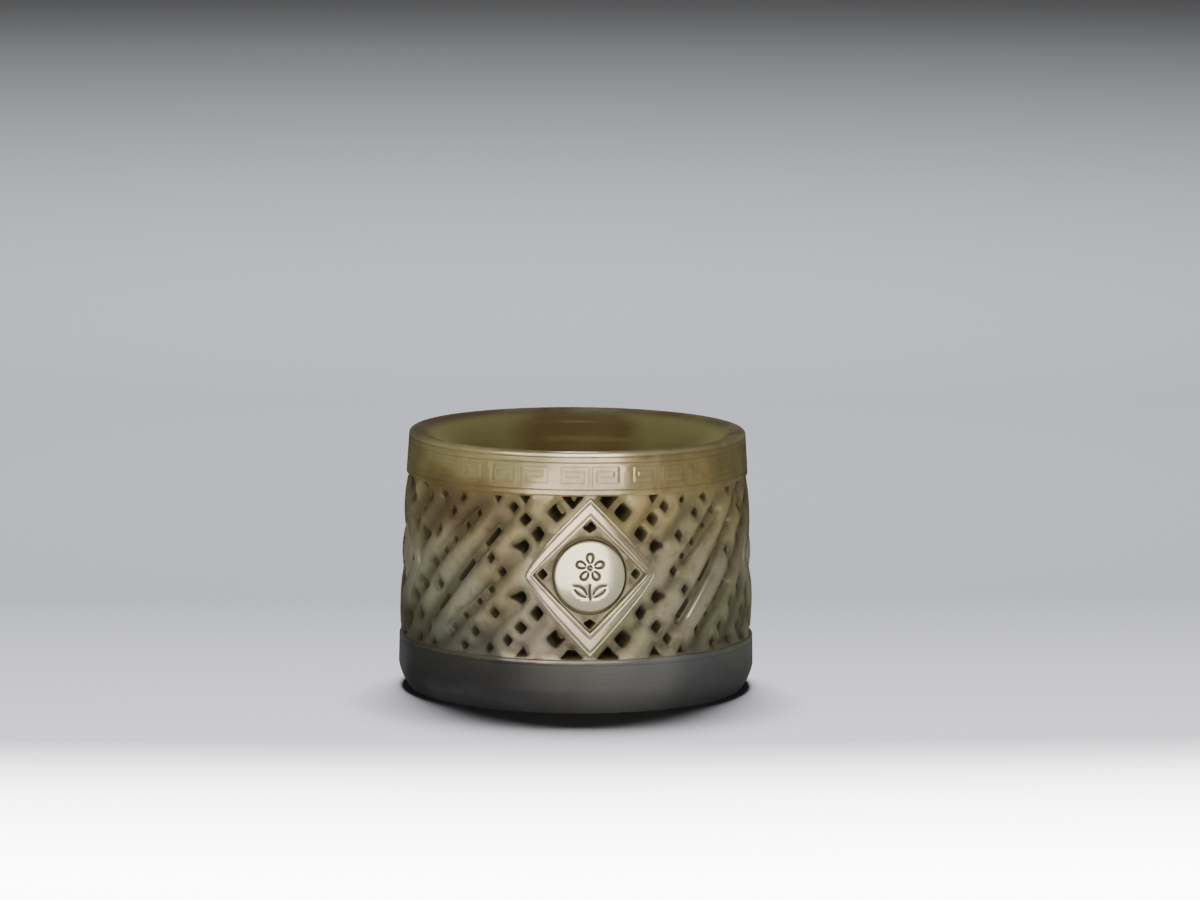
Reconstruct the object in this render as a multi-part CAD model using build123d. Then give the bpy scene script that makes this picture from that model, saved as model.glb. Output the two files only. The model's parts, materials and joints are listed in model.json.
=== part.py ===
from build123d import *
import math
import os

# An archer's thumb ring, carved and pierced from one piece of jade. All sizes are in millimetres.
# The ring stands on its flat foot: the origin is the centre of the foot's plane, +Z runs up the
# thumb hole and -Y is the front. Angles go round from the front towards +X.

# Driving dimensions of the turned body
height = 24.0
bore_radius = 10.85
foot_wall = 5.65
rim_wall = 4.75
side_bulge = 0.15
foot_bevel_in = 1.0
foot_bevel_up = 2.2
foot_bevel_bulge = 0.15
bore_bevel = 0.5
mouth_flare = 2.45
mouth_depth = 2.3
mouth_crown = 0.5
lip_round = 0.4
foot_band_height = 5.04
rim_band_height = 4.04
lattice_recess = 0.25

# Driving dimensions of the four lozenges with their round bosses
lozenge_count = 4
front_lozenge_angle = 4.5
window_rise = 0.22
frame_end_lap = 0.12
frame_half_width = 6.6
frame_side_width = 1.5
frame_end_width = 2.36
window_depth = 0.75
moat_margin = 0.08
moat_width = 0.4
moat_depth = 0.35
boss_dome_radius = 10.5
boss_set_back = 0.05

# Driving dimensions of the piercing, whose holes are square and stand on a corner
lattice_hole = 1.1
window_end_hole = 1.4
window_side_hole = 1.2
window_hole_inset = 0.78
band_hole_width = 2.0
band_hole_height = 1.2
band_hole_gap = 0.06
band_hole_offset = 1.6
slot_width = 0.6

# Places of the holes beside a lozenge. Across is a share of half the pitch between lozenges, up is
# a share of half the lattice's height, and size is a share of the ordinary hole. Each is repeated
# to the left, to the right, above and below.
BESIDE_LOZENGE = [
    {"name": "corner", "across": 0.247, "up": 0.757, "size": 1.6},
    {"name": "shoulder", "across": 0.386, "up": 0.496, "size": 1.2},
    {"name": "flank", "across": 0.507, "up": 0.306, "size": 1.2},
    {"name": "outer_shoulder", "across": 0.49, "up": 0.662, "size": 1.0},
]

# The hole on the level of the lozenge's corners, in the same shares
LEVEL_WITH_CORNER = {"across": 0.66, "size": 0.95}

# The slanting slot through the middle of each panel, as shares of its reach from that middle
MIDDLE_SLOT = {"across": 0.066, "up": 0.145}

# Slanting slots beside it, in the same shares measured from the panel's middle. Each is repeated
# by half a turn about that middle.
PANEL_SLOTS = [
    {"name": "in_line", "across_from": 0.163, "up_from": 0.355, "across_to": 0.302, "up_to": 0.555},
    {"name": "beside", "across_from": 0.115, "up_from": -0.375, "across_to": 0.262, "up_to": -0.155},
]

# Where the seam of the round surfaces lies, between two holes, in the same share as across
SEAM_ACROSS = 0.59

# Sizes that follow from the driving dimensions
foot_radius = bore_radius + foot_wall
rim_radius = bore_radius + rim_wall
mouth_radius = bore_radius + mouth_flare
side_bottom = foot_bevel_up
side_top = height - lip_round
lattice_low = foot_band_height
lattice_high = height - rim_band_height
lattice_middle = (lattice_low + lattice_high) / 2
lattice_half = (lattice_high - lattice_low) / 2
lozenge_pitch = 360 / lozenge_count
window_height = lattice_middle + window_rise
frame_half_height = lattice_half + frame_end_lap
window_half_width = frame_half_width - frame_side_width
window_half_height = frame_half_height - frame_end_width
cutter_reach = foot_radius + foot_wall


def side_circle():
    """Centre radius, centre height and radius of the circle that the outer side's arc lies on."""
    low = Vector(foot_radius, 0, side_bottom)
    high = Vector(rim_radius, 0, side_top)
    chord = high - low
    circle_radius = (chord.length**2 / 4 + side_bulge**2) / (2 * side_bulge)
    inward = Vector(-chord.Z, 0, chord.X).normalized()
    centre = (low + high) * 0.5 + inward * (circle_radius - side_bulge)
    return centre.X, centre.Z, circle_radius


def side_radius(level):
    """Outer radius of the smooth side at a height."""
    centre_radius, centre_height, circle_radius = side_circle()
    return centre_radius + math.sqrt(circle_radius**2 - (level - centre_height) ** 2)


def side_arc(low, high, inset):
    """The outer side's arc between two heights, set in by a distance."""
    middle = (low + high) / 2
    return ThreePointArc(
        (side_radius(low) - inset, 0, low),
        (side_radius(middle) - inset, 0, middle),
        (side_radius(high) - inset, 0, high),
    )


def bulged_arc(start, end, bulge):
    """An arc in the XZ plane that stands out by a bulge, to the right of the way from start to end."""
    chord = end - start
    outward = Vector(chord.Z, 0, -chord.X).normalized() * bulge
    return ThreePointArc(start, (start + end) * 0.5 + outward, end)


def seam_turn():
    """The turn about the Z axis that brings a round surface's seam from +X to between two holes."""
    return Rot(0, 0, front_lozenge_angle + half_pitch_angle(SEAM_ACROSS) - 90)


def turned(outline):
    """The solid that a closed outline in the XZ plane sweeps out round the Z axis."""
    return seam_turn() * revolve(make_face(outline), Axis.Z, 360)


def turned_body():
    """The plain body: flat foot, bulging side, rounded lip, flared mouth and straight bore."""
    side = side_arc(side_bottom, side_top, 0)
    foot_edge = Vector(foot_radius - foot_bevel_in, 0, 0)
    foot_turn = bulged_arc(foot_edge, side @ 0, foot_bevel_bulge)
    lip_top = (rim_radius - lip_round, 0, height)
    lip_shoulder = lip_round * (1 - math.sqrt(0.5))
    lip_middle = (rim_radius - lip_shoulder, 0, height - lip_shoulder)
    lip = ThreePointArc(side @ 1, lip_middle, lip_top)
    crown = Line(lip_top, (mouth_radius, 0, height))
    mouth_end = Vector(bore_radius, 0, height - mouth_depth)
    mouth = bulged_arc(crown @ 1, mouth_end, mouth_crown)
    bore = Line(mouth_end, (bore_radius, 0, bore_bevel))
    bevel = Line((bore_radius, 0, bore_bevel), (bore_radius + bore_bevel, 0, 0))
    foot = Line((bore_radius + bore_bevel, 0, 0), foot_edge)
    return turned([foot_turn, side, lip, crown, mouth, bore, bevel, foot])


def lattice_channel():
    """The shallow channel round the side that sets the lattice behind the two bands."""
    wall = side_arc(lattice_low, lattice_high, lattice_recess)
    low_out = (cutter_reach, 0, lattice_low)
    high_out = (cutter_reach, 0, lattice_high)
    return turned([wall, Line(wall @ 1, high_out), Line(high_out, low_out), Line(low_out, wall @ 0)])


def radial_plane(angle, level):
    """A plane on the ring's axis that faces outward at an angle, at a height."""
    turn = math.radians(angle)
    outward = (math.sin(turn), -math.cos(turn), 0)
    sideways = (math.cos(turn), math.sin(turn), 0)
    return Plane(origin=(0, 0, level), x_dir=sideways, z_dir=outward)


def radial_prism(angle, level, corners, start):
    """A straight prism over flat corners that runs outward from a distance to past the side."""
    face = make_face(Polyline(*corners, close=True))
    placed = radial_plane(angle, level).offset(start) * face
    return extrude(placed, cutter_reach - start)


def lozenge_corners(half_width, half_height):
    """The four corners of a lozenge about the origin."""
    return [(half_width, 0), (0, half_height), (-half_width, 0), (0, -half_height)]


def outside_radius(solid, radius):
    """The share of a solid that lies outside a cylinder round the ring's axis."""
    return solid - seam_turn() * Cylinder(radius, height * 3)


def frame(body, angle):
    """The raised lozenge: the smooth body's own surface, kept inside the lozenge's outline."""
    corners = lozenge_corners(frame_half_width, frame_half_height)
    return body & radial_prism(angle, lattice_middle, corners, bore_radius + foot_wall / 4)


def window_cut(angle):
    """The sunk window inside a lozenge's frame, down to a floor that follows the ring."""
    corners = lozenge_corners(window_half_width, window_half_height)
    prism = radial_prism(angle, window_height, corners, bore_radius)
    return outside_radius(prism, side_radius(window_height) - window_depth)


def moat_radius():
    """Outer radius of the round moat that just fits between the window's four sides."""
    diagonal = math.hypot(window_half_width, window_half_height)
    return window_half_width * window_half_height / diagonal - moat_margin


def moat_cut(angle):
    """The round moat in the window's floor, with the boss's place left standing in it."""
    plane = radial_plane(angle, window_height).offset(bore_radius)
    disc = extrude(plane * Circle(moat_radius()), cutter_reach - bore_radius)
    return outside_radius(disc, side_radius(window_height) - window_depth - moat_depth)


def boss(angle):
    """The domed round boss that stands in the moat."""
    root = side_radius(window_height) - window_depth - moat_depth - foot_wall / 4
    plane = radial_plane(angle, window_height).offset(root)
    disc = extrude(plane * Circle(moat_radius() - moat_width), cutter_reach - root)
    top = side_radius(window_height) - boss_set_back
    outward = radial_plane(angle, window_height).z_dir
    dome_centre = outward * (top - boss_dome_radius) + Vector(0, 0, window_height)
    seam_inward = Plane(origin=dome_centre, x_dir=-outward, z_dir=(0, 0, 1))
    return disc & (seam_inward * Sphere(boss_dome_radius))


def half_pitch_angle(share):
    """The angle of a share of half the pitch between lozenges."""
    return share * lozenge_pitch / 2


def corner_hole(angle, level, size):
    """A square hole that stands on a corner, straight through the wall."""
    return radial_prism(angle, level, lozenge_corners(size / 2, size / 2), 0)


def window_holes(angle):
    """The four holes in the corners of a window."""
    across = math.degrees((window_half_width - window_hole_inset) / side_radius(window_height))
    up = window_half_height - window_hole_inset
    sides = [corner_hole(angle + turn, window_height, window_side_hole) for turn in (-across, across)]
    ends = [corner_hole(angle, window_height + rise, window_end_hole) for rise in (-up, up)]
    return sides + ends


def band_holes(angle):
    """The four holes between a lozenge's two ends and the bands, with one side along the band."""
    across = math.degrees(band_hole_offset / side_radius(lattice_middle))
    holes = []
    for up in (-1, 1):
        edge = lattice_middle + up * (lattice_half - band_hole_gap)
        base = [(-band_hole_width / 2, 0), (band_hole_width / 2, 0), (0, -up * band_hole_height)]
        for side in (-1, 1):
            holes.append(radial_prism(angle + side * across, edge, base, 0))
    return holes


def lattice_holes(angle):
    """The holes round a lozenge, the same to the left, to the right, above and below."""
    holes = []
    for side in (-1, 1):
        for place in BESIDE_LOZENGE:
            turn = side * half_pitch_angle(place["across"])
            for up in (-1, 1):
                level = lattice_middle + up * place["up"] * lattice_half
                holes.append(corner_hole(angle + turn, level, place["size"] * lattice_hole))
        turn = side * half_pitch_angle(LEVEL_WITH_CORNER["across"])
        holes.append(corner_hole(angle + turn, lattice_middle, LEVEL_WITH_CORNER["size"] * lattice_hole))
    return holes


def slot(angle, start, end):
    """A slot between two flat points beside the middle of the panel that is centred at an angle."""
    middle = (start + end) * 0.5
    along = (end - start) * 0.5
    beside = Vector(-along.Y, along.X).normalized() * (slot_width / 2)
    corners = [along + beside, -along + beside, -along - beside, along - beside]
    turn = math.degrees(middle.X / side_radius(lattice_middle))
    flat = [(corner.X, corner.Y) for corner in corners]
    return radial_prism(angle + turn, lattice_middle + middle.Y, flat, 0)


def panel_slots(angle):
    """The slanting slots of the panel that is centred at an angle."""
    half_pitch = math.radians(lozenge_pitch / 2) * side_radius(lattice_middle)
    reach = Vector(MIDDLE_SLOT["across"] * half_pitch, MIDDLE_SLOT["up"] * lattice_half)
    slots = [slot(angle, -reach, reach)]
    for place in PANEL_SLOTS:
        start = Vector(place["across_from"] * half_pitch, place["up_from"] * lattice_half)
        end = Vector(place["across_to"] * half_pitch, place["up_to"] * lattice_half)
        slots.append(slot(angle, start, end))
        slots.append(slot(angle, -start, -end))
    return slots


def carved_ring():
    """The whole ring: turned body, sunk lattice, raised lozenges with bosses, and the piercing."""
    body = turned_body()
    angles = [front_lozenge_angle + number * lozenge_pitch for number in range(lozenge_count)]
    ring = body - lattice_channel()
    ring = ring + [frame(body, angle) for angle in angles]
    ring = ring - [window_cut(angle) for angle in angles]
    ring = ring - [moat_cut(angle) for angle in angles]
    ring = ring + [boss(angle) for angle in angles]
    for angle in angles:
        ring = ring - (window_holes(angle) + band_holes(angle) + lattice_holes(angle))
        ring = ring - panel_slots(angle + lozenge_pitch / 2)
    return ring


os.makedirs("parts", exist_ok=True)
ring = carved_ring()
ring.label = "carved_ring"
export_step(ring, "parts/carved_ring.step")
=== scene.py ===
import json
import logging
import math
from dataclasses import dataclass, field
from enum import Enum
from typing import Callable, Optional, Union

import bpy
import numpy as np
from mathutils import Matrix, Vector
from mathutils.geometry import delaunay_2d_cdt


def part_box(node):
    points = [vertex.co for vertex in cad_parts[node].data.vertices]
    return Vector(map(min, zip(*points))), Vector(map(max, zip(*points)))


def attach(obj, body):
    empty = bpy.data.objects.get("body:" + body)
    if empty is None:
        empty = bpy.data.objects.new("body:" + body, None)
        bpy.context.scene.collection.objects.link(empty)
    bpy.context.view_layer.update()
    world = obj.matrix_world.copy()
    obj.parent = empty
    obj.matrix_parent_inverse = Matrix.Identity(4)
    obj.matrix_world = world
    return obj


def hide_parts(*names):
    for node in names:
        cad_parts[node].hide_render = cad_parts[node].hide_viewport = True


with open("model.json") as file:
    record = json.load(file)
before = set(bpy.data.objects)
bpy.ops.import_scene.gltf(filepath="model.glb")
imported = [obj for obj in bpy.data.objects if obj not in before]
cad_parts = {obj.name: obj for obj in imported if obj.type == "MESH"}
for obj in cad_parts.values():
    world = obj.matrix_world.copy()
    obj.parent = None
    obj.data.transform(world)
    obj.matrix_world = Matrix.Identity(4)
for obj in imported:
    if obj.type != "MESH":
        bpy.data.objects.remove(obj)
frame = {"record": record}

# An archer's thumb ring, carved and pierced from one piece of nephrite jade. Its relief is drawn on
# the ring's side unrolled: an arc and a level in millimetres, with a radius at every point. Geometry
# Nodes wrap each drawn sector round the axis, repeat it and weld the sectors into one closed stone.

logging.basicConfig(level=logging.INFO, format="%(name)s: %(message)s")
log = logging.getLogger("thumb_ring")

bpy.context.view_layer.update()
RING_NODE = "carved_ring"
ONLY_BODY = "root"

MM = 0.001
ARC_RADIUS = 16.0
TURN_SAMPLES = 360
ARC_STEP = 2 * math.pi * ARC_RADIUS / TURN_SAMPLES
SLIVER_AREA = 1e-6
MERGE_DISTANCE = 1e-7
CORNER_SHARE = 0.45
MITRE_LEAST = 0.6
SEED_GAP = 0.62

Point = tuple[float, float]
Row = tuple[float, float, float]
Surface = Callable[[float, float], float]
Source = Union[bpy.types.NodeSocket, bpy.types.Node]
Colour = Union[str, bpy.types.NodeSocket]


def srgb(hex_value: str) -> tuple[float, float, float, float]:
    """Turns an sRGB hex colour into the linear colour that a shader takes.

    Args:
        hex_value: six hex digits, such as "8a7c55".

    Returns:
        Linear red, green and blue, with an alpha of 1.
    """
    shares = [int(hex_value[place : place + 2], 16) / 255 for place in (0, 2, 4)]
    linear = [share / 12.92 if share <= 0.04045 else ((share + 0.055) / 1.055) ** 2.4 for share in shares]
    return (linear[0], linear[1], linear[2], 1.0)


def resampled(points: list[Point], step: float, closed: bool) -> list[Point]:
    """Adds points on every run that is longer than a step.

    Args:
        points: the corners of an outline or a path.
        step: the longest run that may stay.
        closed: whether the last point joins the first.

    Returns:
        The corners with the added points between them.
    """
    count = len(points) if closed else len(points) - 1
    result = []
    for place in range(count):
        start, end = points[place], points[(place + 1) % len(points)]
        pieces = max(1, math.ceil(math.dist(start, end) / step))
        for piece in range(pieces):
            share = piece / pieces
            result.append(tuple(start[a] + (end[a] - start[a]) * share for a in (0, 1)))
    return result if closed else result + [points[-1]]


def rounded(corners: list[Point], cut: float, per_corner: int) -> list[Point]:
    """Rounds the corners of a closed outline.

    Args:
        corners: the sharp corners, anticlockwise.
        cut: how far from a corner its curve starts.
        per_corner: how many points each curve has.

    Returns:
        The rounded outline.
    """
    result = []
    for place, corner in enumerate(corners):
        ends = []
        for other in (corners[place - 1], corners[(place + 1) % len(corners)]):
            share = min(CORNER_SHARE, cut / math.dist(corner, other))
            ends.append([corner[axis] + (other[axis] - corner[axis]) * share for axis in (0, 1)])
        for number in range(per_corner):
            t = number / (per_corner - 1)
            weights = ((1 - t) ** 2, 2 * t * (1 - t), t**2)
            pulls = list(zip(weights, (ends[0], corner, ends[1])))
            result.append(tuple(sum(weight * spot[axis] for weight, spot in pulls) for axis in (0, 1)))
    return result


def grown(outline: list[Point], distance: float) -> list[Point]:
    """Moves a closed anticlockwise outline outwards.

    Args:
        outline: the outline.
        distance: how far each side moves.

    Returns:
        An outline with as many points.
    """
    loop = np.array(outline)
    run = np.roll(loop, -1, axis=0) - loop
    normal = np.stack([run[:, 1], -run[:, 0]], axis=1)
    normal /= np.linalg.norm(normal, axis=1)[:, None]
    both = normal + np.roll(normal, 1, axis=0)
    both /= np.maximum(np.sum(both * both, axis=1) / 2, MITRE_LEAST)[:, None]
    return [tuple(point) for point in loop + both * distance]


def inside(points: np.ndarray, outline: np.ndarray) -> np.ndarray:
    """Tells which points lie inside a closed outline, by counting the sides that a ray crosses.

    Args:
        points: the points, one in a row.
        outline: the outline's corners, one in a row.

    Returns:
        One truth value for each point.
    """
    start, end = outline, np.roll(outline, -1, axis=0)
    x, y = points[:, 0][:, None], points[:, 1][:, None]
    spans = (start[:, 1] > y) != (end[:, 1] > y)
    slope = (end[:, 0] - start[:, 0]) / np.where(end[:, 1] == start[:, 1], 1.0, end[:, 1] - start[:, 1])
    crossed = spans & (x < start[:, 0] + (y - start[:, 1]) * slope)
    return crossed.sum(axis=1) % 2 == 1


def bulged_arc(start: Point, end: Point, bulge: float, steps: int) -> list[Point]:
    """An arc between two points of the section, standing out to the right of the way.

    Args:
        start: radius and level of the first point.
        end: radius and level of the last point.
        bulge: how far the arc's middle stands off the chord.
        steps: how many runs the arc is divided into.

    Returns:
        The arc's points, both ends included.
    """
    chord = math.dist(start, end)
    along = ((end[0] - start[0]) / chord, (end[1] - start[1]) / chord)
    out = (along[1], -along[0])
    radius = (chord**2 / 4 + bulge**2) / (2 * bulge)
    half = math.asin(chord / 2 / radius)
    points = []
    for step in range(steps + 1):
        turn = half * (2 * step / steps - 1)
        forth, off = radius * math.sin(turn), radius * math.cos(turn) - radius + bulge
        points.append(tuple((start[a] + end[a]) / 2 + along[a] * forth + out[a] * off for a in (0, 1)))
    return points


@dataclass(frozen=True)
class Rail:
    """One line of an engraved stroke's section: its share of the half width, depth, dark and polish."""

    across: float
    depth: float
    dark: float
    polish: float


@dataclass
class ReliefMesh:
    """A mesh on the unrolled ring: each point has an arc, a level and a radius, in millimetres.

    The plain polish, from 0 to 1, is what a point gets that has none of its own.
    """

    plain_polish: float
    points: list[Row] = field(default_factory=list)
    faces: list[tuple[int, ...]] = field(default_factory=list)
    cut: list[float] = field(default_factory=list)
    polish: list[float] = field(default_factory=list)

    def add(self, arc: float, level: float, radius: float, cut: float = 0.0,
            polish: Optional[float] = None) -> int:
        """Adds a point.

        Args:
            arc: way round the ring from the lozenge's axis.
            level: height above the foot.
            radius: distance from the thumb hole's axis.
            cut: 1 in an engraved line, a share as painted shade in hollows and holes, 0 on the plain
                surface.
            polish: how polished the stone is there, or nothing for the plain surface's polish.

        Returns:
            The point's number.
        """
        self.points.append((arc, level, radius))
        self.cut.append(cut)
        self.polish.append(self.plain_polish if polish is None else polish)
        return len(self.points) - 1

    def loop(self, outline: list[Point], surface: Surface, depth: float, **marks: float) -> list[int]:
        """Adds an outline's points at a depth below a surface, with their cut and polish as marks."""
        return [self.add(arc, level, surface(arc, level) - depth, **marks) for arc, level in outline]

    def join(self, lines: list[list[int]], closed: bool = True) -> None:
        """Joins successive lines of as many points by strips of quads.

        Args:
            lines: the lines, from the outer or first one to the inner or last one.
            closed: whether the lines are loops.
        """
        for first, second in zip(lines, lines[1:]):
            for place in range(len(first) if closed else len(first) - 1):
                after = (place + 1) % len(first)
                self.faces.append((first[place], first[after], second[after], second[place]))

    def stroke(self, path: list[Point], width: float, rails: tuple[Rail, ...], surface: Surface,
               tapered: bool = False) -> list[list[int]]:
        """Adds the lines of an engraved stroke along a path.

        Args:
            path: the stroke's middle line.
            width: the stroke's width.
            rails: the lines of its section, from the outer ones to the middle one.
            surface: the radius at each arc and level.
            tapered: whether the stroke thins out to its two ends.

        Returns:
            The lines' points: closed outlines first, the middle line last.
        """
        way = np.array(path)
        run = np.diff(way, axis=0)
        run /= np.linalg.norm(run, axis=1)[:, None]
        normal = np.stack([run[:, 1], -run[:, 0]], axis=1)
        before, after = np.vstack([normal[:1], normal]), np.vstack([normal, normal[-1:]])
        mitre = (before + after) / (1 + np.sum(before * after, axis=1))[:, None]
        share = np.linspace(0, 1, len(way))
        swell = 0.45 + 0.55 * np.sqrt(np.sin(math.pi * share)) if tapered else np.ones(len(way))
        half = (swell * width / 2)[:, None]
        lines = []
        for rail in rails:
            if rail.across:
                right = way + mitre * half * rail.across
                left = way - mitre * half * rail.across
                tip = way[-1] + run[-1] * half[-1] * rail.across
                tail = way[0] - run[0] * half[0] * rail.across
                outline = np.vstack([right, tip[None], left[::-1], tail[None]])
            else:
                outline = way
            points = [tuple(point) for point in outline]
            lines.append(self.loop(points, surface, rail.depth, cut=rail.dark, polish=rail.polish))
        return lines

    def fill(self, border: list[int], holes: list[list[int]], strokes: list[list[list[int]]],
             spacing: float, surface: Surface, facing_in: bool = False, **marks: float) -> None:
        """Fills the surface inside a border and round its holes with even triangles.

        Args:
            border: the closed border's points.
            holes: closed loops that stay open.
            strokes: engraved strokes, each as its closed outlines and its middle line.
            spacing: how far apart the triangles' corners lie.
            surface: the radius at each arc and level.
            facing_in: whether the surface faces the axis.
            marks: the new points' cut and polish.
        """
        loops = [border, *holes] + [line for stroke in strokes for line in stroke[:-1]]
        middles = [stroke[-1] for stroke in strokes]
        fixed = [point for line in loops + middles for point in line]
        place_of = {point: place for place, point in enumerate(fixed)}
        edges = []
        for line in loops:
            edges += [(place_of[line[k - 1]], place_of[line[k]]) for k in range(len(line))]
        for middle in middles:
            edges += [(place_of[a], place_of[b]) for a, b in zip(middle, middle[1:])]
        flat = np.array([self.points[point][:2] for point in fixed])
        outline_of = [np.array([self.points[point][:2] for point in line]) for line in loops]
        seeds = self.seeds(flat, outline_of, spacing)
        corners = [Vector(point) for point in flat] + [Vector(seed) for seed in seeds]
        done = delaunay_2d_cdt(corners, edges, [], 0, MERGE_DISTANCE, True)
        crossings = [tuple(done[0][place]) for place, given in enumerate(done[3]) if not given]
        if crossings:
            raise ValueError(f"carved lines cross at {crossings}")
        numbers = fixed + [self.add(x, y, surface(x, y), **marks) for x, y in seeds]
        triangles = np.array([[done[3][corner][0] for corner in triangle] for triangle in done[2]])
        places = np.vstack([flat, seeds]) if len(seeds) else flat
        centres = places[triangles].mean(axis=1)
        sides = places[triangles[:, 1:]] - places[triangles[:, :1]]
        area = np.abs(sides[:, 0, 0] * sides[:, 1, 1] - sides[:, 0, 1] * sides[:, 1, 0]) / 2
        kept = inside(centres, outline_of[0]) & (area > SLIVER_AREA)
        for outline in outline_of[1 : 1 + len(holes)]:
            kept &= ~inside(centres, outline)
        for triangle in triangles[kept]:
            turned = triangle[::-1] if facing_in else triangle
            self.faces.append(tuple(numbers[corner] for corner in turned))

    @staticmethod
    def seeds(flat: np.ndarray, outlines: list[np.ndarray], spacing: float) -> np.ndarray:
        """Points of an even triangular grid that keep clear of every given line.

        Args:
            flat: the arcs and levels of the given points.
            outlines: the border first, then the loops that hold no grid point.
            spacing: the grid's spacing.

        Returns:
            The grid points, one in a row.
        """
        low, high = outlines[0].min(axis=0), outlines[0].max(axis=0)
        rise = spacing * math.sqrt(0.75)
        rows = np.arange(low[1] + rise / 2, high[1], rise)
        columns = np.arange(low[0], high[0], spacing)
        grid = [(x + (k % 2) * spacing / 2, y) for k, y in enumerate(rows) for x in columns]
        if not grid:
            return np.zeros((0, 2))
        seeds = np.array(grid)
        seeds = seeds[inside(seeds, outlines[0])]
        for outline in outlines[1:]:
            seeds = seeds[~inside(seeds, outline)]
        clear = np.array([np.min(np.sum((flat - seed) ** 2, axis=1)) for seed in seeds])
        return seeds[clear > (spacing * SEED_GAP) ** 2] if len(seeds) else seeds

    def flat_object(self, name: str) -> bpy.types.Object:
        """Makes a mesh object of the unrolled drawing: X is the arc, Y the radius and Z the level.

        Args:
            name: the object's name.

        Returns:
            The object, linked to the scene.
        """
        mesh = bpy.data.meshes.new(name)
        placed = [(arc * MM, radius * MM, level * MM) for arc, level, radius in self.points]
        mesh.from_pydata(placed, [], self.faces)
        for mark, values in (("cut", self.cut), ("polish", self.polish)):
            mesh.attributes.new(mark, "FLOAT", "POINT").data.foreach_set("value", values)
        obj = bpy.data.objects.new(name, mesh)
        bpy.context.scene.collection.objects.link(obj)
        return obj


@dataclass(frozen=True)
class TurnedForm:
    """The plain turned body that the relief is cut into. Lengths are in millimetres."""

    height: float
    foot_radius: float
    bore_radius: float
    rim_wall: float = 4.75
    side_bulge: float = 0.15
    bevel_in: float = 1.0
    bevel_up: float = 2.2
    bevel_bulge: float = 0.15
    bore_bevel: float = 0.5
    mouth_flare: float = 2.45
    mouth_depth: float = 2.3
    crown_bulge: float = 0.1
    mouth_fall: float = 0.55
    mouth_crown: float = 0.3
    lip_round: float = 0.4
    foot_band: float = 5.04
    rim_band: float = 4.04
    recess: float = 0.25

    @classmethod
    def from_frame(cls) -> "TurnedForm":
        """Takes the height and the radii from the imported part.

        Returns:
            The turned body.
        """
        low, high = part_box(RING_NODE)
        bore = next(mount for mount in frame["record"]["mounts"] if mount["name"] == "thumb_bore")
        radius = (high.x - low.x) / 2 / MM
        return cls(height=(high.z - low.z) / MM, foot_radius=radius, bore_radius=bore["dims"]["r_mm"])

    @property
    def rim_radius(self) -> float:
        """Outer radius just under the lip."""
        return self.bore_radius + self.rim_wall

    @property
    def side_top(self) -> float:
        """Level where the side meets the rounded lip."""
        return self.height - self.lip_round

    @property
    def lattice_low(self) -> float:
        """Level of the lattice's lower edge."""
        return self.foot_band

    @property
    def lattice_high(self) -> float:
        """Level of the lattice's upper edge."""
        return self.height - self.rim_band

    @property
    def lattice_middle(self) -> float:
        """Level of the lattice's middle."""
        return (self.lattice_low + self.lattice_high) / 2

    def side(self, arc: float, level: float) -> float:
        """Outer radius of the smooth side.

        Args:
            arc: way round the ring, which changes nothing.
            level: height above the foot.

        Returns:
            The radius.
        """
        low, high = (self.foot_radius, self.bevel_up), (self.rim_radius, self.side_top)
        chord = math.dist(low, high)
        radius = (chord**2 / 4 + self.side_bulge**2) / (2 * self.side_bulge)
        off = (radius - self.side_bulge) / chord
        inwards = (low[0] + high[0]) / 2 - (high[1] - low[1]) * off
        middle = (low[1] + high[1]) / 2 + (high[0] - low[0]) * off
        return inwards + math.sqrt(radius**2 - (level - middle) ** 2)

    def bore(self, arc: float, level: float) -> float:
        """Radius of the thumb hole, the same at every arc and level."""
        return self.bore_radius


@dataclass(frozen=True)
class PierceStyle:
    """How the edge of a hole is broken: the growth of its outline with the depth it starts at."""

    rings: tuple[tuple[float, float], ...]


LATTICE_EDGE = PierceStyle(((0.18, 0.0), (0.09, 0.04), (0.03, 0.12), (0.0, 0.24)))
SUNK_EDGE = PierceStyle(((0.06, 0.0), (0.02, 0.03), (0.0, 0.08)))
BORE_EDGE_GROWTH = 0.06
BORE_EDGE_DEPTH = 0.08
WALL_SHARES = (0.18, 0.5)
EDGE_SHADE_DEPTH = 0.3
# Share of the engraved dark painted on a hole's wall and broken edges, as painted shade
WALL_SHADE = 0.15
CORNER_CUT = 0.16


class HoleShape(Enum):
    """Outlines of the pierced holes, anticlockwise, in shares of their width and height."""

    DIAMOND = ((0.5, 0.0), (0.0, 0.5), (-0.5, 0.0), (0.0, -0.5))
    WEDGE_DOWN = ((-0.5, 0.5), (0.0, -0.5), (0.5, 0.5))
    ARROW_RIGHT = (
        (-0.5, 0.0), (-0.1, -0.5), (0.12, -0.2), (0.62, -0.1), (0.62, 0.1), (0.12, 0.2), (-0.1, 0.5),
    )
    SPADE_UP = ((0.0, 0.5), (-0.5, -0.12), (-0.16, -0.2), (0.0, -0.5), (0.16, -0.2), (0.5, -0.12))

    @property
    def edge(self) -> PierceStyle:
        """How the hole's edge is broken: the wedges stand close under a band, so theirs is finer."""
        return SUNK_EDGE if self is HoleShape.WEDGE_DOWN else LATTICE_EDGE

    def outline(self, width: float, height: float, mirrored: bool, flipped: bool) -> list[Point]:
        """The outline at its real size, with softened corners.

        Args:
            width: size along the arc.
            height: size along the level.
            mirrored: whether left and right change places.
            flipped: whether up and down change places.

        Returns:
            The outline's points, anticlockwise.
        """
        signs = (-1 if mirrored else 1, -1 if flipped else 1)
        corners = [(x * width * signs[0], y * height * signs[1]) for x, y in self.value]
        if mirrored != flipped:
            corners.reverse()
        return rounded(corners, CORNER_CUT * min(width, height), 3 if len(corners) < 6 else 2)


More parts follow.
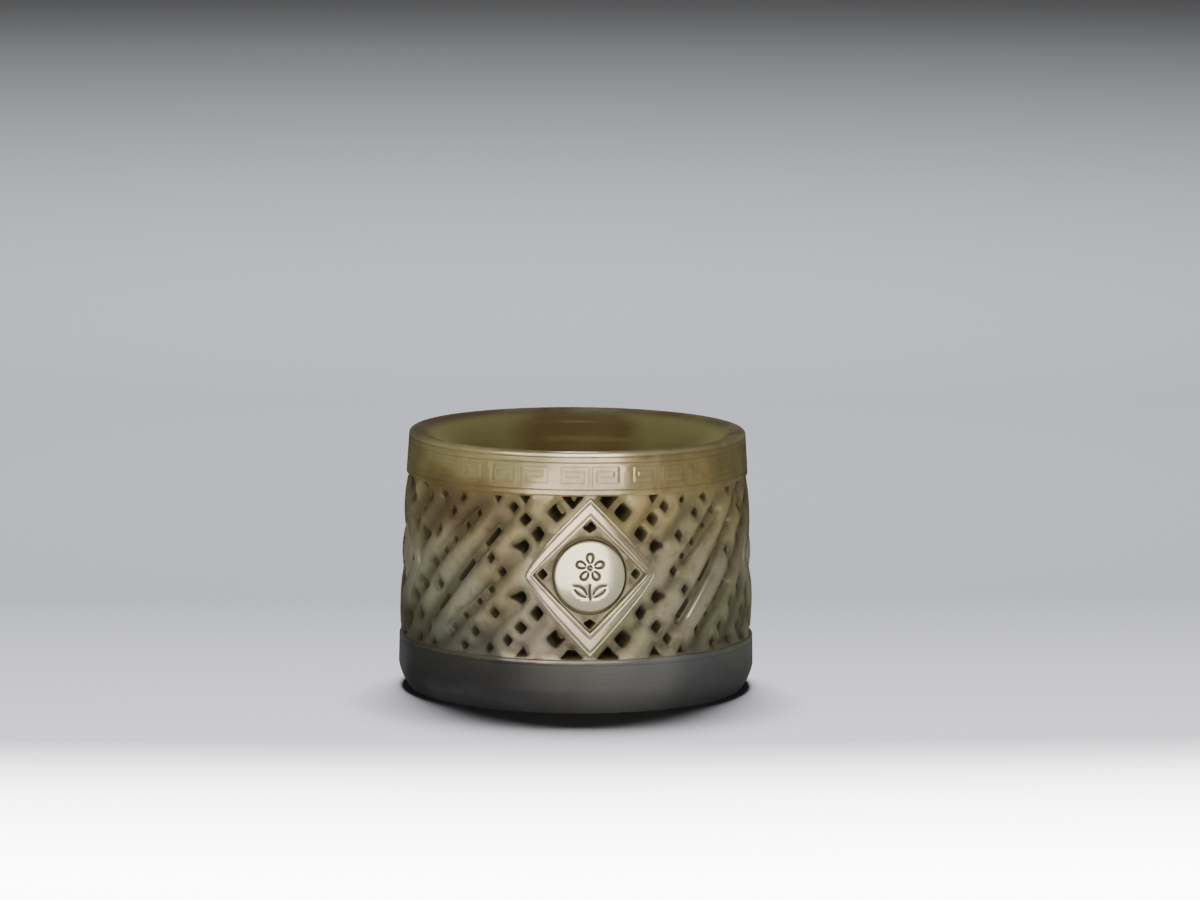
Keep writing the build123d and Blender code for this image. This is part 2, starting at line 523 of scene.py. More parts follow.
@dataclass(frozen=True)
class HolePlan:
    """A pierced hole's place, size and shape, in millimetres from a lozenge's or panel's middle."""

    across: float
    up: float
    width: float
    height: float
    shape: HoleShape = HoleShape.DIAMOND


@dataclass
class PiercedHole:
    """A hole through the wall: its outline and the loops where it meets the two faces."""

    outline: list[Point]
    style: PierceStyle = LATTICE_EDGE
    outer_loop: list[int] = field(default_factory=list)
    bore_loop: list[int] = field(default_factory=list)

    def cut(self, mesh: ReliefMesh, form: TurnedForm, surface: Surface) -> None:
        """Adds the hole's broken edges and its wall from the outer surface to the bore.

        Args:
            mesh: the mesh that takes the hole.
            form: the turned body.
            surface: the outer surface that the hole starts from.
        """
        rings = []
        for growth, depth in self.style.rings:
            # Painted shade: the broken edges darken with depth, up to the wall's share
            shade = min(WALL_SHADE, depth / EDGE_SHADE_DEPTH)
            rings.append(mesh.loop(grown(self.outline, growth), surface, depth, cut=shade))
        start = self.style.rings[-1][1]
        for share in WALL_SHARES:
            ring = []
            for arc, level in self.outline:
                radius = (surface(arc, level) - start) * (1 - share) + form.bore_radius * share
                ring.append(mesh.add(arc, level, radius, cut=WALL_SHADE))
            rings.append(ring)
        rings.append(mesh.loop(self.outline, form.bore, -BORE_EDGE_DEPTH))
        rings.append(mesh.loop(grown(self.outline, BORE_EDGE_GROWTH), form.bore, 0.0))
        mesh.join(rings)
        self.outer_loop, self.bore_loop = rings[0], rings[-1]


@dataclass(frozen=True)
class LozengePlan:
    """A raised lozenge frame with its window, moat and boss. Lengths are in millimetres."""

    count: int = 4
    front_angle: float = 4.5
    window_rise: float = 0.22
    half_width: float = 5.25
    half_height: float = 5.22
    outer_half_width: float = 6.1
    outer_top: float = 7.34
    outer_bottom: float = -7.34
    side_points: int = 20
    upper_bow: float = 0.42
    lower_bow: float = 0.16
    bow_lean: float = 0.7
    frame_run: float = 1.24
    window_depth: float = 0.75
    boss_drop: float = 0.1
    moat_radius: float = 3.5
    moat_depth: float = 1.0
    boss_radius: float = 3.28
    dome_radius: float = 8.6
    circle_points: int = 72
    polish: float = 0.86
    polish_reach: float = 0.135
    groove_polish: float = 0.2
    # Share of the engraved dark painted on the window's floor and moat, as painted shade
    window_shade: float = 0.8
    floor_spacing: float = 0.4
    dome_spacing: float = 0.3

    # The boss's rounded edge: distance into the boss and depth below the dome
    boss_edge: tuple[Point, ...] = ((0.01, 0.14), (0.05, 0.05), (0.13, 0.0), (0.3, 0.0))

    # Distance outwards from the window's edge and depth below the side, from the fall to the lattice
    # over an outer thin ridge, the broad flat band and an inner thin ridge to the window's floor
    profile: tuple[Point, ...] = (
        (1.24, 0.25), (1.20, 0.20), (1.15, 0.13), (1.08, 0.10), (1.02, 0.13), (0.985, 0.22), (0.93, 0.22),
        (0.90, 0.12), (0.87, 0.075), (0.81, 0.06), (0.44, 0.01), (0.38, 0.0), (0.33, 0.03), (0.285, 0.14),
        (0.215, 0.14), (0.18, 0.03), (0.15, 0.0), (0.06, 0.0), (0.02, 0.03), (0.0, 0.12), (-0.02, 0.42),
        (-0.03, 0.75),
    )


@dataclass
class Lozenge:
    """One lozenge of the lattice: mitred frame, sunk window, round moat and engraved boss."""

    form: TurnedForm
    plan: LozengePlan
    holes: tuple[HolePlan, ...] = (
        HolePlan(0.0, 4.36, 1.55, 1.34, HoleShape.SPADE_UP),
        HolePlan(0.0, -4.45, 1.35, 1.1, HoleShape.SPADE_UP),
        HolePlan(-4.46, 0.0, 1.08, 1.12),
        HolePlan(4.46, 0.0, 1.08, 1.12),
    )

    centre: float = field(init=False)
    boss_centre: float = field(init=False)

    def __post_init__(self) -> None:
        """Finds the middles of the window and of the boss."""
        self.centre = self.form.lattice_middle + self.plan.window_rise
        self.boss_centre = self.centre - self.plan.boss_drop

    def frame_loop(self, distance: float) -> list[Point]:
        """The frame's outline at a distance outwards from the window's edge.

        Args:
            distance: the distance in millimetres.

        Returns:
            The outline, anticlockwise from the right corner.
        """
        plan = self.plan
        share = distance / plan.frame_run
        middle = self.form.lattice_middle
        width = plan.half_width + (plan.outer_half_width - plan.half_width) * share
        top, bottom = self.centre + plan.half_height, self.centre - plan.half_height
        side = self.centre + (middle - self.centre) * share
        top += (middle + plan.outer_top - top) * share
        bottom += (middle + plan.outer_bottom - bottom) * share
        corners = [(width, side), (0.0, top), (-width, side), (0.0, bottom)]
        points = []
        for turn, (start, end) in enumerate(zip(corners, corners[1:] + corners[:1])):
            run, rise = end[0] - start[0], end[1] - start[1]
            for number in range(plan.side_points):
                t = number / plan.side_points
                from_side = t if turn % 2 == 0 else 1 - t
                bow = plan.upper_bow if turn < 2 else plan.lower_bow
                off = bow * share * math.sin(math.pi * from_side**plan.bow_lean) / math.hypot(run, rise)
                points.append((start[0] + run * t + rise * off, start[1] + rise * t - run * off))
        return points

    def circle(self, radius: float) -> list[Point]:
        """A circle about the boss's middle.

        Args:
            radius: the circle's radius.

        Returns:
            The circle's points, anticlockwise.
        """
        count = self.plan.circle_points
        turns = [2 * math.pi * number / count for number in range(count)]
        return [(radius * math.cos(turn), self.boss_centre + radius * math.sin(turn)) for turn in turns]

    def dome(self, arc: float, level: float) -> float:
        """Radius of the boss's dome, a part of a ball, at an arc and a level.

        Args:
            arc: way round the ring from the lozenge's axis.
            level: height above the foot.

        Returns:
            The radius.
        """
        ball = self.plan.dome_radius
        centre = self.form.side(0.0, self.boss_centre) - ball
        turn = arc / ARC_RADIUS
        inner = ball**2 - (level - self.boss_centre) ** 2 - (centre * math.sin(turn)) ** 2
        return centre * math.cos(turn) + math.sqrt(inner)

    def carve(self, mesh: ReliefMesh) -> tuple[list[int], list[PiercedHole]]:
        """Adds the whole lozenge.

        Args:
            mesh: the mesh that takes the lozenge.

        Returns:
            The frame's outermost loop and the window's four holes.
        """
        form, plan = self.form, self.plan
        rings = []
        for distance, depth in plan.profile:
            polish = plan.polish if depth < plan.polish_reach else plan.groove_polish
            rings.append(mesh.loop(self.frame_loop(distance), form.side, depth, polish=polish))
        mesh.join(rings)
        holes = []
        for hole in self.holes:
            outline = hole.shape.outline(hole.width, hole.height, False, hole.up < 0)
            placed = [(x + hole.across, y + self.centre + hole.up) for x, y in outline]
            holes.append(PiercedHole(placed, SUNK_EDGE))

        def floor(arc: float, level: float) -> float:
            """Radius of the window's floor."""
            return form.side(arc, level) - plan.window_depth

        for hole in holes:
            hole.cut(mesh, form, floor)
        # The sunk window's floor and moat take painted shade, a share of the engraved dark
        sunk_shade = plan.window_shade
        moat = []
        for radius, surface, depth in (
            (plan.moat_radius + 0.04, floor, 0.0), (plan.moat_radius, floor, 0.04),
            (plan.moat_radius - 0.05, form.side, plan.moat_depth),
            (plan.boss_radius + 0.06, form.side, plan.moat_depth), (plan.boss_radius, self.dome, 0.3),
        ):
            moat.append(mesh.loop(self.circle(radius), surface, depth, cut=sunk_shade))
        for shrink, depth in plan.boss_edge:
            moat.append(mesh.loop(self.circle(plan.boss_radius - shrink), self.dome, depth, polish=1.0))
        mesh.join(moat)
        open_loops = [moat[0]] + [hole.outer_loop for hole in holes]
        mesh.fill(rings[-1], open_loops, [], plan.floor_spacing, floor, cut=sunk_shade)
        strokes = BossOrnament(self.boss_centre).engrave(mesh, self.dome)
        mesh.fill(moat[-1], [], strokes, plan.dome_spacing, self.dome, polish=1.0)
        return rings[0], holes


@dataclass(frozen=True)
class BossOrnament:
    """A plain sprig with one open flower, incised in the boss. Lengths are in millimetres."""

    centre: float
    line_width: float = 0.25
    depth: float = 0.1
    flower_rise: float = 0.85
    petals: int = 5
    petal_start: float = 0.42
    petal_end: float = 1.28
    petal_half_width: float = 0.36
    petal_span: Point = (0.08, 1.84)
    petal_points: int = 15
    heart_radius: float = 0.17
    heart_span: Point = (0.3, 5.9)
    heart_points: int = 9
    step: float = 0.12
    line_dark: float = 0.8

    # Where each line starts and ends on the right of the stem, and its bow
    stem: tuple[Point, Point, float] = ((0.0, -0.62), (0.06, -2.12), -0.05)
    leaf: tuple[tuple[Point, Point, float], ...] = (
        ((0.3, -1.62), (1.5, -0.82), 0.2), ((0.36, -1.86), (1.42, -1.14), -0.12),
    )

    def leaf_curve(self, start: Point, end: Point, bow: float) -> list[Point]:
        """A bowed line from one point to another.

        Args:
            start: the first point.
            end: the last point.
            bow: how far the line's middle stands to its left, as a share of its length.

        Returns:
            The line's points.
        """
        length = math.dist(start, end)
        count = max(3, round(length / self.step))
        left = (-(end[1] - start[1]) / length, (end[0] - start[0]) / length)
        points = []
        for number in range(count + 1):
            t = number / count
            off = 4 * t * (1 - t) * bow * length
            points.append(tuple(start[a] + (end[a] - start[a]) * t + left[a] * off for a in (0, 1)))
        return points

    def paths(self) -> list[list[Point]]:
        """The ornament's lines about the boss's middle.

        Returns:
            The points of each line.
        """
        lines = []
        for number in range(self.petals):
            turn = math.pi / 2 + 2 * math.pi * number / self.petals
            along, beside = (math.cos(turn), math.sin(turn)), (-math.sin(turn), math.cos(turn))
            outline = []
            for step in range(self.petal_points):
                t = math.pi * (self.petal_span[0] + self.petal_span[1] * step / (self.petal_points - 1))
                forth = self.petal_start + (self.petal_end - self.petal_start) * (1 - math.cos(t)) / 2
                off = self.petal_half_width * math.sin(t) * (0.6 + 0.4 * (1 - math.cos(t)) / 2)
                outline.append(tuple(along[a] * forth + beside[a] * off for a in (0, 1)))
            lines.append([(x, y + self.flower_rise) for x, y in outline])
        turns, radius = np.linspace(*self.heart_span, self.heart_points), self.heart_radius
        lines.append([(radius * math.cos(t), self.flower_rise + radius * math.sin(t)) for t in turns])
        lines.append(self.leaf_curve(*self.stem))
        for side in (-1, 1):
            for (x, y), (end_x, end_y), bow in self.leaf:
                lines.append(self.leaf_curve((side * x, y), (side * end_x, end_y), side * bow))
        return lines

    def engrave(self, mesh: ReliefMesh, surface: Surface) -> list[list[list[int]]]:
        """Adds the strokes of the ornament.

        Args:
            mesh: the mesh that takes them.
            surface: the boss's dome.

        Returns:
            The strokes' lines.
        """
        dark = self.line_dark
        rails = (Rail(1.25, 0.0, 0.0, 1.0), Rail(1.0, 0.02, dark, 0.1), Rail(0.0, self.depth, dark, 0.05))
        strokes = []
        for path in self.paths():
            placed = [(x, y + self.centre) for x, y in path]
            strokes.append(mesh.stroke(placed, self.line_width, rails, surface, tapered=True))
        return strokes


@dataclass(frozen=True)
class Channel:
    """A slanting channel sunk in a panel between two lattice strips, in millimetres."""

    start: Point
    end: Point
    half_width: float
    holes: tuple[HolePlan, ...] = ()
    slots: tuple[tuple[Point, Point, float], ...] = ()


@dataclass
class LatticeGround:
    """The sunk lattice surface: slanting strips in the panels and a dished edge round each hole."""

    form: TurnedForm
    plan: LozengePlan
    hole_points: np.ndarray
    strip_pitch: float = 3.0
    strip_run: Point = (0.668, 0.743)
    strip_rise: float = 0.12
    hollow_depth: float = 0.22
    dish_depth: float = 0.14
    dish_reach: float = 0.8
    dish_least: float = 0.25
    # The largest share of painted shade, in the hollows and at the holes' edges
    most_shade: float = 0.8
    band_fade: float = 0.1
    flat_edge: float = 0.7
    frame_edge: Point = (1.03, 1.3)

    @staticmethod
    def step(value: float, low: float, high: float) -> float:
        """A smooth step from 0 at the low value to 1 at the high one."""
        share = min(1.0, max(0.0, (value - low) / (high - low)))
        return share * share * (3 - 2 * share)

    def band_gap(self, level: float) -> float:
        """How far a level is from the nearer of the two bands."""
        return min(level - self.form.lattice_low, self.form.lattice_high - level)

    def clearance(self, arc: float, level: float) -> float:
        """How free a place is of the frames and the two bands.

        Args:
            arc: way round the ring from the lozenge's axis.
            level: height above the foot.

        Returns:
            0 beside a frame or a band, 1 well away from them.
        """
        quarter = 2 * math.pi * ARC_RADIUS / self.plan.count
        across = min(abs(arc), abs(quarter - abs(arc)))
        rise = abs(level - self.form.lattice_middle)
        reach = across / self.plan.outer_half_width + rise / self.plan.outer_top
        frame_share = self.step(reach, *self.frame_edge)
        return frame_share * self.step(self.band_gap(level), 0.0, self.flat_edge)

    def hollow(self, arc: float, level: float) -> float:
        """How deep a place lies between two slanting strips of the panel.

        Args:
            arc: way round the ring from the lozenge's axis.
            level: height above the foot.

        Returns:
            0 on a strip, 1 midway between two.
        """
        panel_arc = math.pi * ARC_RADIUS / self.plan.count
        across = arc - math.copysign(panel_arc, arc)
        off = across * self.strip_run[1] - (level - self.form.lattice_middle) * self.strip_run[0]
        return 0.5 + 0.5 * math.cos(2 * math.pi * off / self.strip_pitch)

    def dish(self, arc: float, level: float) -> float:
        """How near a place is to the nearest hole: 1 at its edge, 0 beyond the dish's reach."""
        gap = math.sqrt(np.min(np.sum((self.hole_points - (arc, level)) ** 2, axis=1)))
        return 1 - self.step(gap, 0.0, self.dish_reach)

    def shade(self, arc: float, level: float) -> float:
        """How much painted shade darkens a place: most in the hollows and round the holes.

        Args:
            arc: way round the ring from the lozenge's axis.
            level: height above the foot.

        Returns:
            0 on the strips, and the most shade's share in the deepest hollows and at the holes' edges.
        """
        free = self.clearance(arc, level)
        hollow_shade = self.most_shade * free * self.hollow(arc, level) ** 1.5
        return max(hollow_shade, self.most_shade * self.dish(arc, level))

    def radius(self, arc: float, level: float) -> float:
        """Outer radius of the lattice.

        Args:
            arc: way round the ring from the lozenge's axis.
            level: height above the foot.

        Returns:
            The radius.
        """
        free, hollow = self.clearance(arc, level), self.hollow(arc, level)
        sunk = free * (self.hollow_depth * hollow - self.strip_rise * (1 - hollow))
        share = self.dish_least + (1 - self.dish_least) * free
        dished = self.dish_depth * self.dish(arc, level) * share
        sunk += dished * self.step(self.band_gap(level), 0.0, self.band_fade)
        return self.form.side(arc, level) - self.form.recess - sunk


@dataclass
class LatticeSector:
    """A quarter of the pierced lattice: one lozenge, the panel beside it and the bore behind them."""

    form: TurnedForm
    lozenge: Lozenge

    # Holes round a lozenge, the same to its left and to its right
    beside: tuple[HolePlan, ...] = (
        HolePlan(1.65, 6.8, 2.05, 1.15, HoleShape.WEDGE_DOWN),
        HolePlan(3.15, 5.9, 1.8, 1.75),
        HolePlan(4.9, 3.9, 1.25, 1.45),
        HolePlan(6.4, 2.7, 1.4, 1.5, HoleShape.ARROW_RIGHT),
        HolePlan(6.1, 5.2, 1.15, 1.2),
        HolePlan(7.4, 6.25, 0.9, 1.05),
        HolePlan(6.2, 6.95, 1.05, 0.8, HoleShape.WEDGE_DOWN),
        HolePlan(8.4, 0.25, 0.85, 1.0),
        HolePlan(6.55, -1.95, 1.4, 1.45, HoleShape.ARROW_RIGHT),
        HolePlan(4.85, -3.3, 1.2, 1.45),
        HolePlan(6.35, -4.7, 1.15, 1.2),
        HolePlan(3.1, -5.62, 1.8, 1.75),
        HolePlan(7.6, -5.9, 0.85, 1.05),
        HolePlan(1.65, -6.8, 2.05, 1.15, HoleShape.WEDGE_DOWN),
        HolePlan(6.2, -6.85, 1.05, 0.8, HoleShape.WEDGE_DOWN),
    )

    # Holes and channels of a panel, repeated by half a turn about its middle
    panel: tuple[HolePlan, ...] = (
        HolePlan(3.07, 1.5, 0.8, 0.95),
        HolePlan(3.57, -3.5, 0.8, 1.05),
        HolePlan(1.57, -5.4, 0.85, 0.95),
        HolePlan(3.67, 6.9, 0.8, 0.58, HoleShape.WEDGE_DOWN),
        HolePlan(3.07, -6.75, 0.85, 0.8),
        HolePlan(0.37, -6.75, 0.85, 0.8),
    )
    outer_channel: Channel = Channel(
        (3.35, -1.15), (-1.75, -5.75), 0.52,
        holes=(
            HolePlan(2.95, -1.5, 0.72, 0.78),
            HolePlan(1.62, -2.7, 0.72, 0.78),
            HolePlan(0.05, -4.12, 0.72, 0.78),
            HolePlan(-1.3, -5.34, 0.72, 0.78),
        ),
    )
    middle_channel: Channel = Channel(
        (4.0, 4.45), (-4.0, -4.45), 0.42,
        slots=(
            ((3.68, 4.1), (2.25, 2.5), 0.26),
            ((0.88, 0.98), (-0.88, -0.98), 0.26),
            ((-2.25, -2.5), (-3.68, -4.1), 0.26),
        ),
    )
    channel_depth: float = 0.42
    channel_cut: float = 0.35
    slot_cut: float = 0.2
    bar_corner: int = 4
    end_reach: float = 1.3

    # A channel's bank: growth of its outline, depth and polish
    channel_edge: tuple[Row, ...] = (
        (0.3, 0.0, 0.5), (0.17, 0.06, 0.65), (0.08, 0.16, 0.4), (0.0, 0.3, 0.1), (-0.06, 0.42, 0.05),
    )

    # The sector's left edge runs between the holes from the top to the bottom
    left_edge: tuple[Point, ...] = (
        (-8.25, 6.35), (-8.3, 5.6), (-7.7, 4.5), (-7.85, 2.5), (-8.4, 1.2), (-9.2, 0.3), (-9.15, -0.3),
        (-8.65, -0.95), (-8.3, -1.7), (-7.95, -2.7), (-7.9, -3.9), (-8.4, -5.4), (-8.45, -6.3),
    )
    edge_ends: tuple[int, int] = (-29, -30)
    plain_polish: float = 0.05
    spacing: float = 0.42
    bore_spacing: float = 0.62
    edge_step: float = 0.3
    pitch: int = field(init=False)
    panel_arc: float = field(init=False)
    holes: list[PiercedHole] = field(init=False)
    ground: LatticeGround = field(init=False)

    def __post_init__(self) -> None:
        """Cuts the plain holes' outlines and lays the lattice's ground round them."""
        self.pitch = TURN_SAMPLES // self.lozenge.plan.count
        self.panel_arc = self.pitch * ARC_STEP / 2
        self.holes = self.plain_holes()
        outlines = [hole.outline for hole in self.holes]
        quarter = self.pitch * ARC_STEP
        places = [np.array(outline) + (k * quarter, 0.0) for outline in outlines for k in (-1, 0, 1)]
        self.ground = LatticeGround(self.form, self.lozenge.plan, np.vstack(places))

    def border(self) -> list[Point]:
        """The sector's closed outline.

        Returns:
            The outline, anticlockwise.
        """
        middle = self.form.lattice_middle
        top, bottom = self.edge_ends
        corners = [(top * ARC_STEP, self.form.lattice_high)]
        corners += [(arc, middle + up) for arc, up in self.left_edge]
        corners.append((bottom * ARC_STEP, self.form.lattice_low))
        left = resampled(corners, self.edge_step, False)
        right = [(arc + self.pitch * ARC_STEP, level) for arc, level in reversed(left)]
        low = [((bottom + k) * ARC_STEP, self.form.lattice_low) for k in range(1, self.pitch)]
        high = [((top + k) * ARC_STEP, self.form.lattice_high) for k in range(self.pitch - 1, 0, -1)]
        return [left[-1]] + low + right + high + left[:-1]

    def plain_holes(self) -> list[PiercedHole]:
        """The holes round the lozenge and in the panels, wherever a quarter of the ring shows them.

        Returns:
            The holes, not yet cut.
        """
        middle = self.form.lattice_middle
        holes = []
        for hole in self.beside:
            for side in (-1, 1):
                outline = hole.shape.outline(hole.width, hole.height, side < 0, hole.up < 0)
                placed = [(x + side * hole.across, y + middle + hole.up) for x, y in outline]
                holes.append(PiercedHole(placed, hole.shape.edge))
        for hole in self.panel:
            for turn in (1, -1):
                outline = hole.shape.outline(hole.width, hole.height, False, turn < 0)
                across, up = self.panel_arc + turn * hole.across, middle + turn * hole.up
                holes.append(PiercedHole([(x + across, y + up) for x, y in outline], hole.shape.edge))
        return holes

    def placed(self, hole: PiercedHole, edge: np.ndarray) -> Optional[PiercedHole]:
        """The hole itself, or its copy a quarter round, whichever lies inside the sector.

        Args:
            hole: a hole anywhere in the lattice.
            edge: the sector's outline.

        Returns:
            The hole that lies inside, or nothing.
        """
        for quarter in (0, 1, -1):
            shift = quarter * self.pitch * ARC_STEP
            outline = [(arc + shift, level) for arc, level in hole.outline]
            if inside(np.array([np.mean(outline, axis=0)]), edge)[0]:
                return PiercedHole(outline, hole.style)
        return None

    def carve_channel(self, mesh: ReliefMesh, channel: Channel,
                      turn: int) -> tuple[list[int], list[PiercedHole]]:
        """Adds a channel with its slots and holes.

        Args:
            mesh: the mesh that takes it.
            channel: the channel's plan.
            turn: 1 as drawn, -1 turned half round about the panel's middle.

        Returns:
            The channel's outermost loop and its holes.
        """
        middle = self.form.lattice_middle

        def place(point: Point) -> Point:
            """A panel point in the sector's arcs and levels."""
            return (self.panel_arc + turn * point[0], middle + turn * point[1])

        def bar(start: Point, end: Point, half_width: float, cut: float) -> list[Point]:
            """A rounded bar between two points.

            Args:
                start: the middle of one end.
                end: the middle of the other end.
                half_width: half of the bar's width.
                cut: how far from a corner its curve starts.

            Returns:
                The bar's outline, anticlockwise.
            """
            length = math.dist(start, end)
            off = (-(end[1] - start[1]) / length * half_width, (end[0] - start[0]) / length * half_width)
            places = ((start, 1), (start, -1), (end, -1), (end, 1))
            corners = [(spot[0] + side * off[0], spot[1] + side * off[1]) for spot, side in places]
            return resampled(rounded(corners, cut, self.bar_corner), self.edge_step, True)

        def floor(arc: float, level: float) -> float:
            """Radius of the channel's floor."""
            return self.ground.radius(arc, level) - self.channel_depth

        outline = bar(place(channel.start), place(channel.end), channel.half_width, self.channel_cut)
        rings = [mesh.loop(grown(outline, growth), self.ground.radius, depth, polish=polish)
                 for growth, depth, polish in self.channel_edge]
        mesh.join(rings)
        ends = np.array([place(channel.start), place(channel.end)])
        for number in [number for ring in rings for number in ring]:
            if np.min(np.hypot(*(ends - mesh.points[number][:2]).T)) < self.end_reach:
                mesh.polish[number] = mesh.plain_polish
        holes = []
        for start, end, half_width in channel.slots:
            holes.append(PiercedHole(bar(place(start), place(end), half_width, self.slot_cut), SUNK_EDGE))
        for hole in channel.holes:
            x, y = place((hole.across, hole.up))
            outline = hole.shape.outline(hole.width, hole.height, False, False)
            holes.append(PiercedHole([(x + dx, y + dy) for dx, dy in outline], SUNK_EDGE))
        for hole in holes:
            hole.cut(mesh, self.form, floor)
        mesh.fill(rings[-1], [hole.outer_loop for hole in holes], [], self.spacing, floor)
        return rings[0], holes

    def soil(self, mesh: ReliefMesh) -> None:
        """Paints shade into the lattice's hollows and round its holes, as a darker cut mark.

        Args:
            mesh: the mesh with the outer surface drawn.
        """
        plan, middle = self.lozenge.plan, self.form.lattice_middle
        for number, (arc, level, _) in enumerate(mesh.points):
            if abs(arc) / plan.outer_half_width + abs(level - middle) / plan.outer_top > 1.0:
                # Painted shade: the hollows and the holes' surrounds take a darker cut mark
                mesh.cut[number] = max(mesh.cut[number], self.ground.shade(arc, level))

    def build(self) -> bpy.types.Object:
        """Draws the sector on the unrolled ring.

        Returns:
            The sector's flat object.
        """
        mesh = ReliefMesh(self.plain_polish)
        form = self.form
        edge = self.border()
        frame_loop, holes = self.lozenge.carve(mesh)
        outer = mesh.loop(edge, self.ground.radius, 0.0)
        open_loops = [frame_loop]
        for hole in self.holes:
            inner = self.placed(hole, np.array(edge))
            if inner:
                inner.cut(mesh, form, self.ground.radius)
                open_loops.append(inner.outer_loop)
                holes.append(inner)
        for channel, turns in ((self.middle_channel, (1,)), (self.outer_channel, (1, -1))):
            for turn in turns:
                loop, inner_holes = self.carve_channel(mesh, channel, turn)
                open_loops.append(loop)
                holes += inner_holes
        mesh.fill(outer, open_loops, [], self.spacing, self.ground.radius)
        self.soil(mesh)
        bore = mesh.loop(edge, form.bore, 0.0)
        inner_loops = [hole.bore_loop for hole in holes]
        mesh.fill(bore, inner_loops, [], self.bore_spacing, form.bore, facing_in=True)
        log.info("lattice sector: %d holes, %d faces", len(holes), len(mesh.faces))
        return mesh.flat_object("lattice_sector")


@dataclass(frozen=True)
class FretPlan:
    """An engraved key fret band: two mirrored square spirals in each sector, in millimetres."""

    low: float
    high: float
    width: float
    depth: float
    dark: float

    # One spiral's corners: arc from the sector's middle and share of the fret's height
    spiral: tuple[Point, ...] = (
        (0.16, 0.0), (0.16, 1.0), (2.72, 1.0), (2.72, 0.2), (0.6, 0.2), (0.6, 0.77), (2.26, 0.77),
        (2.26, 0.49), (1.08, 0.49),
    )

    def paths(self) -> list[list[Point]]:
        """The two spirals' middle lines.

        Returns:
            The points of each line.
        """
        lines = []
        for side in (1, -1):
            corners = []
            for arc, share in self.spiral:
                corners.append((side * arc, self.low + (self.high - self.low) * share))
            lines.append(resampled(corners, 0.3, False))
        return lines


